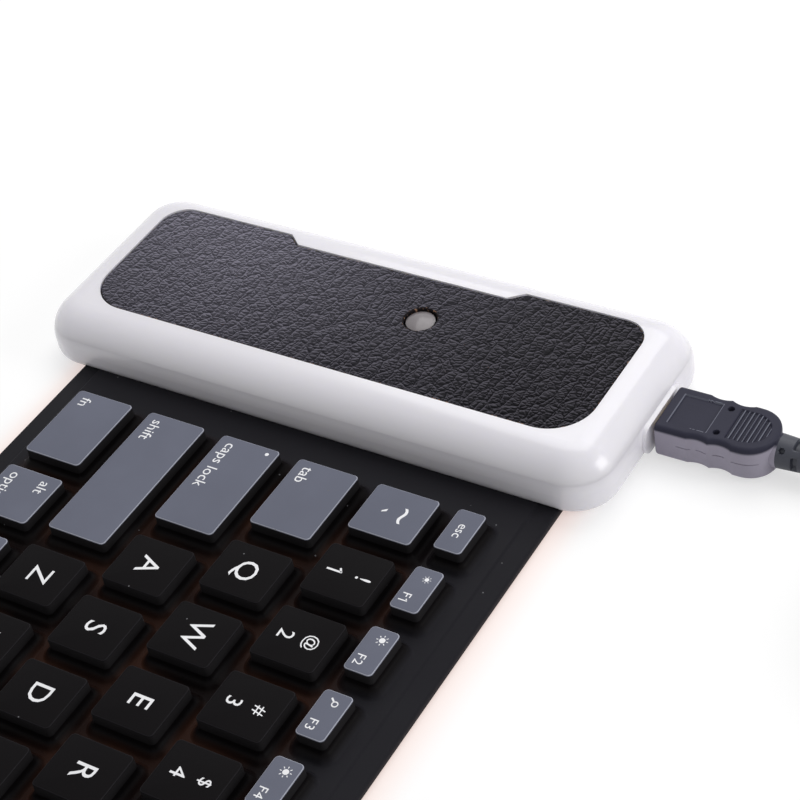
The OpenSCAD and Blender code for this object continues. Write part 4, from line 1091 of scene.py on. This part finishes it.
def on_highlighted_crest(x, y, z):
    """True on the crests of the ribs and the rim of the panel, which carry a painted highlight."""
    if z < UPPER_FACE:
        return False
    return -0.12 < panel_area(x, y) < 0.08 or (rib_area(x, y) > 0.1 and rib_reach(y) < 0.09)


def build_grip():
    """The grip with its strain relief, and the two blades that hold the plug's shell."""
    mesh_data = bmesh.new()
    stations = [0, 0.05, 0.12, 0.22, 0.36]
    stations += [GRIP_FRONT_ROUND + i * 0.1 for i in range(201)]
    stations += [GRIP_LENGTH - back for back in (0.45, 0.3, 0.15, 0.04, 0)]
    loft(mesh_data, [grip_ring(y) for y in stations])
    loft(mesh_data, [relief_ring(-3 + i * 0.12) for i in range(126)])
    for low, half in ((0.75, 2.3), (-0.75 - BLADE_THICK, 3.05)):
        corners = ((-half, low), (half, low), (half, low + BLADE_THICK), (-half, low + BLADE_THICK))
        loft(mesh_data, [[(SOCKET_X + x, y, SOCKET_Z + z) for x, z in corners]
                         for y in (GRIP_FRONT - BLADE_LENGTH, GRIP_FRONT + 1)])
    bmesh.ops.recalc_face_normals(mesh_data, faces=mesh_data.faces)
    for face in mesh_data.faces:
        middle = face.calc_center_median() / MM
        along = middle.y - GRIP_FRONT
        highlighted = on_highlighted_crest(middle.x - SOCKET_X, along, middle.z - SOCKET_Z)
        # slot 1 is the painted highlight on the crests and the rim, slot 2 the relief
        face.material_index = 2 if along > GRIP_LENGTH + 0.2 else int(highlighted)
    grip = finish_piece("plug_grip", mesh_data, [GRIP_PAINTED_REFLECTION, GRIP_CREST_HIGHLIGHT, PVC], 50)
    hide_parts("usb_plug_grip")
    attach(grip, "charging_cord")
    return grip


# ======== the leather inlay

INLAY_FRONT, INLAY_BACK = -55.15, 52.35
INLAY_BOTTOM, INLAY_TOP = 11.0, 11.8
NEAR_RADIUS, FAR_RADIUS = 8.5, 5.5
NOTCH_Y, NOTCH_HALF, NOTCH_SLOPE, NOTCH_DEPTH = -0.25, 23.5, 3.0, 2.5
LENS_X, LENS_Y = -126.5, 10.8
LENS_HOLE = 3.2


def inlay_points():
    """The inlay's outline, anticlockwise from its right side, with eased corners on the step."""
    points = arc(INLAY_RIGHT - NEAR_RADIUS, INLAY_BACK - NEAR_RADIUS, NEAR_RADIUS, 0, 90)
    points += arc(INLAY_LEFT + FAR_RADIUS, INLAY_BACK - FAR_RADIUS, FAR_RADIUS, 90, 180)
    for side in (1, -1):
        step = [(INLAY_LEFT, NOTCH_Y + side * (NOTCH_HALF + NOTCH_SLOPE + 2)),
                (INLAY_LEFT, NOTCH_Y + side * (NOTCH_HALF + NOTCH_SLOPE)),
                (INLAY_LEFT + NOTCH_DEPTH, NOTCH_Y + side * NOTCH_HALF),
                (INLAY_LEFT + NOTCH_DEPTH, NOTCH_Y + side * (NOTCH_HALF - 2))]
        eased = [step[0]] + ease(step[0], step[1], step[2]) + ease(step[1], step[2], step[3]) + [step[3]]
        points += eased if side > 0 else eased[::-1]
    points += arc(INLAY_LEFT + FAR_RADIUS, INLAY_FRONT + FAR_RADIUS, FAR_RADIUS, 180, 270)
    points += arc(INLAY_RIGHT - NEAR_RADIUS, INLAY_FRONT + NEAR_RADIUS, NEAR_RADIUS, 270, 360)
    return [Vector(point) for point in points]


def ease(before, corner, after, reach=0.9, count=5):
    """A short curve in place of a corner."""
    a = Vector(corner) + (Vector(before) - Vector(corner)).normalized() * reach
    b = Vector(corner) + (Vector(after) - Vector(corner)).normalized() * reach
    return [tuple(a * (1 - t) ** 2 + Vector(corner) * 2 * t * (1 - t) + b * t * t)
            for t in (i / count for i in range(count + 1))]


def inset_points(points, inset):
    out = []
    for i, point in enumerate(points):
        ahead = (points[(i + 1) % len(points)] - points[i - 1]).normalized()
        out.append(point + Vector((-ahead.y, ahead.x)) * inset)
    return out


def hole_ring(radius, z, points=48):
    """A slightly ragged circle round the window."""
    ring = []
    for i in range(points):
        a = 2 * math.pi * i / points
        ragged = radius + 0.05 * math.sin(i * 2.3)
        ring.append((LENS_X + ragged * math.cos(a), LENS_Y + ragged * math.sin(a), z))
    return ring


def build_leather():
    outline = inlay_points()
    steps = ((0.0, INLAY_BOTTOM), (0.0, 11.5), (0.04, 11.64), (0.12, 11.74), (0.26, INLAY_TOP))
    mesh_data = bmesh.new()
    rings = [[(p.x, p.y, z) for p in inset_points(outline, inset)] for inset, z in steps]
    levels = loft(mesh_data, rings, close_high=False, side=1)
    hole = [hole_ring(LENS_HOLE + out, z)
            for out, z in ((0, INLAY_BOTTOM), (0, 11.6), (0.1, 11.75), (0.25, INLAY_TOP))]
    inner = loft(mesh_data, hole, close_low=False, close_high=False, side=1)
    top_edges = []
    for loop in (levels[-1], inner[-1]):
        top_edges += [mesh_data.edges.get((loop[i - 1], loop[i])) for i in range(len(loop))]
    bmesh.ops.triangle_fill(mesh_data, edges=top_edges, use_beauty=True)
    bmesh.ops.recalc_face_normals(mesh_data, faces=mesh_data.faces)
    leather = finish_piece("leather_pad", mesh_data, [LEATHER, LEATHER_EDGE], 50)
    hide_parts("leather_inlay")
    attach(leather, "housing")


# ======== stage

def seen_rays(tree):
    """1 where the camera sees a surface, also in a mirror or through glass."""
    rays = add(tree, "ShaderNodeLightPath").outputs
    seen = maths(tree, "MAXIMUM", rays["Is Camera Ray"], rays["Is Glossy Ray"])
    return maths(tree, "MAXIMUM", seen, rays["Is Transmission Ray"])


def floor_material():
    """White paper: white where it is seen, with half its shadow, and a painted warm light beside the mat that
    stays flat, as if light came through the mat's edge.
    """
    material, tree, shader = new_material("pale_floor", Roughness=0.6, Specular_IOR_Level=0.15)
    seen = seen_rays(tree)
    place = position(tree)
    # painted light: a warm glow on the paper beside the mat's flat panel
    warm = 1.0
    for axis, centre, half, reach in (("X", -60, 40, 20), ("Y", 0, MAT_DEPTH / 2, 7)):
        off = maths(tree, "ABSOLUTE", maths(tree, "SUBTRACT", place[axis], centre * MM))
        fade = map_range(tree, off, half * MM, (half + reach) * MM, 1.0, 0.0, interpolation_type="SMOOTHSTEP")
        warm = maths(tree, "MULTIPLY", fade, warm)
    painted_light_tint = mix_colour(tree, warm, (1.0, 1.0, 1.0), (1.0, 0.80, 0.74))
    paper = mix_colour(tree, seen, (0.88, 0.88, 0.885), (0.46, 0.46, 0.46))
    tree.links.new(paper, shader.inputs["Base Color"])
    tree.links.new(painted_light_tint, shader.inputs["Emission Color"])
    tree.links.new(maths(tree, "MULTIPLY", seen, 0.58), shader.inputs["Emission Strength"])
    return material


def build_floor():
    mesh_data = bmesh.new()
    bmesh.ops.create_grid(mesh_data, x_segments=1, y_segments=1, size=3.0)
    floor = finish_piece("floor", mesh_data, [])
    floor.location.z = -0.00002
    floor.data.materials.append(floor_material())


def build_world():
    """An even pale room: it lights at half strength and shows as white."""
    world = bpy.data.worlds.new("studio")
    bpy.context.scene.world = world
    world.use_nodes = True
    tree = world.node_tree
    background = tree.nodes["Background"]
    background.inputs["Color"].default_value = (1, 1, 1, 1)
    tree.links.new(map_range(tree, seen_rays(tree), 0, 1, 0.5, 1.0), background.inputs["Strength"])


def build_lamps():
    target = Vector((-0.1, 0, 0))
    for name, place, size, energy in (("overhead", (-0.6, -0.1, 0.75), 0.7, 3.6),
                                      ("end", (-0.3, 0.75, 0.35), 0.4, 2.2)):
        light = bpy.data.lights.new(name, "AREA")
        light.size = size
        light.energy = energy
        lamp = bpy.data.objects.new(name, light)
        lamp.location = place
        lamp.rotation_euler = (target - Vector(place)).to_track_quat("-Z", "Y").to_euler()
        bpy.context.scene.collection.objects.link(lamp)


build_cord(build_grip())
build_leather()
dress_cad_nodes()
build_moving_keys()
build_mat()
build_film()
build_floor()
build_world()
build_lamps()
bpy.context.scene.view_settings.view_transform = "Standard"
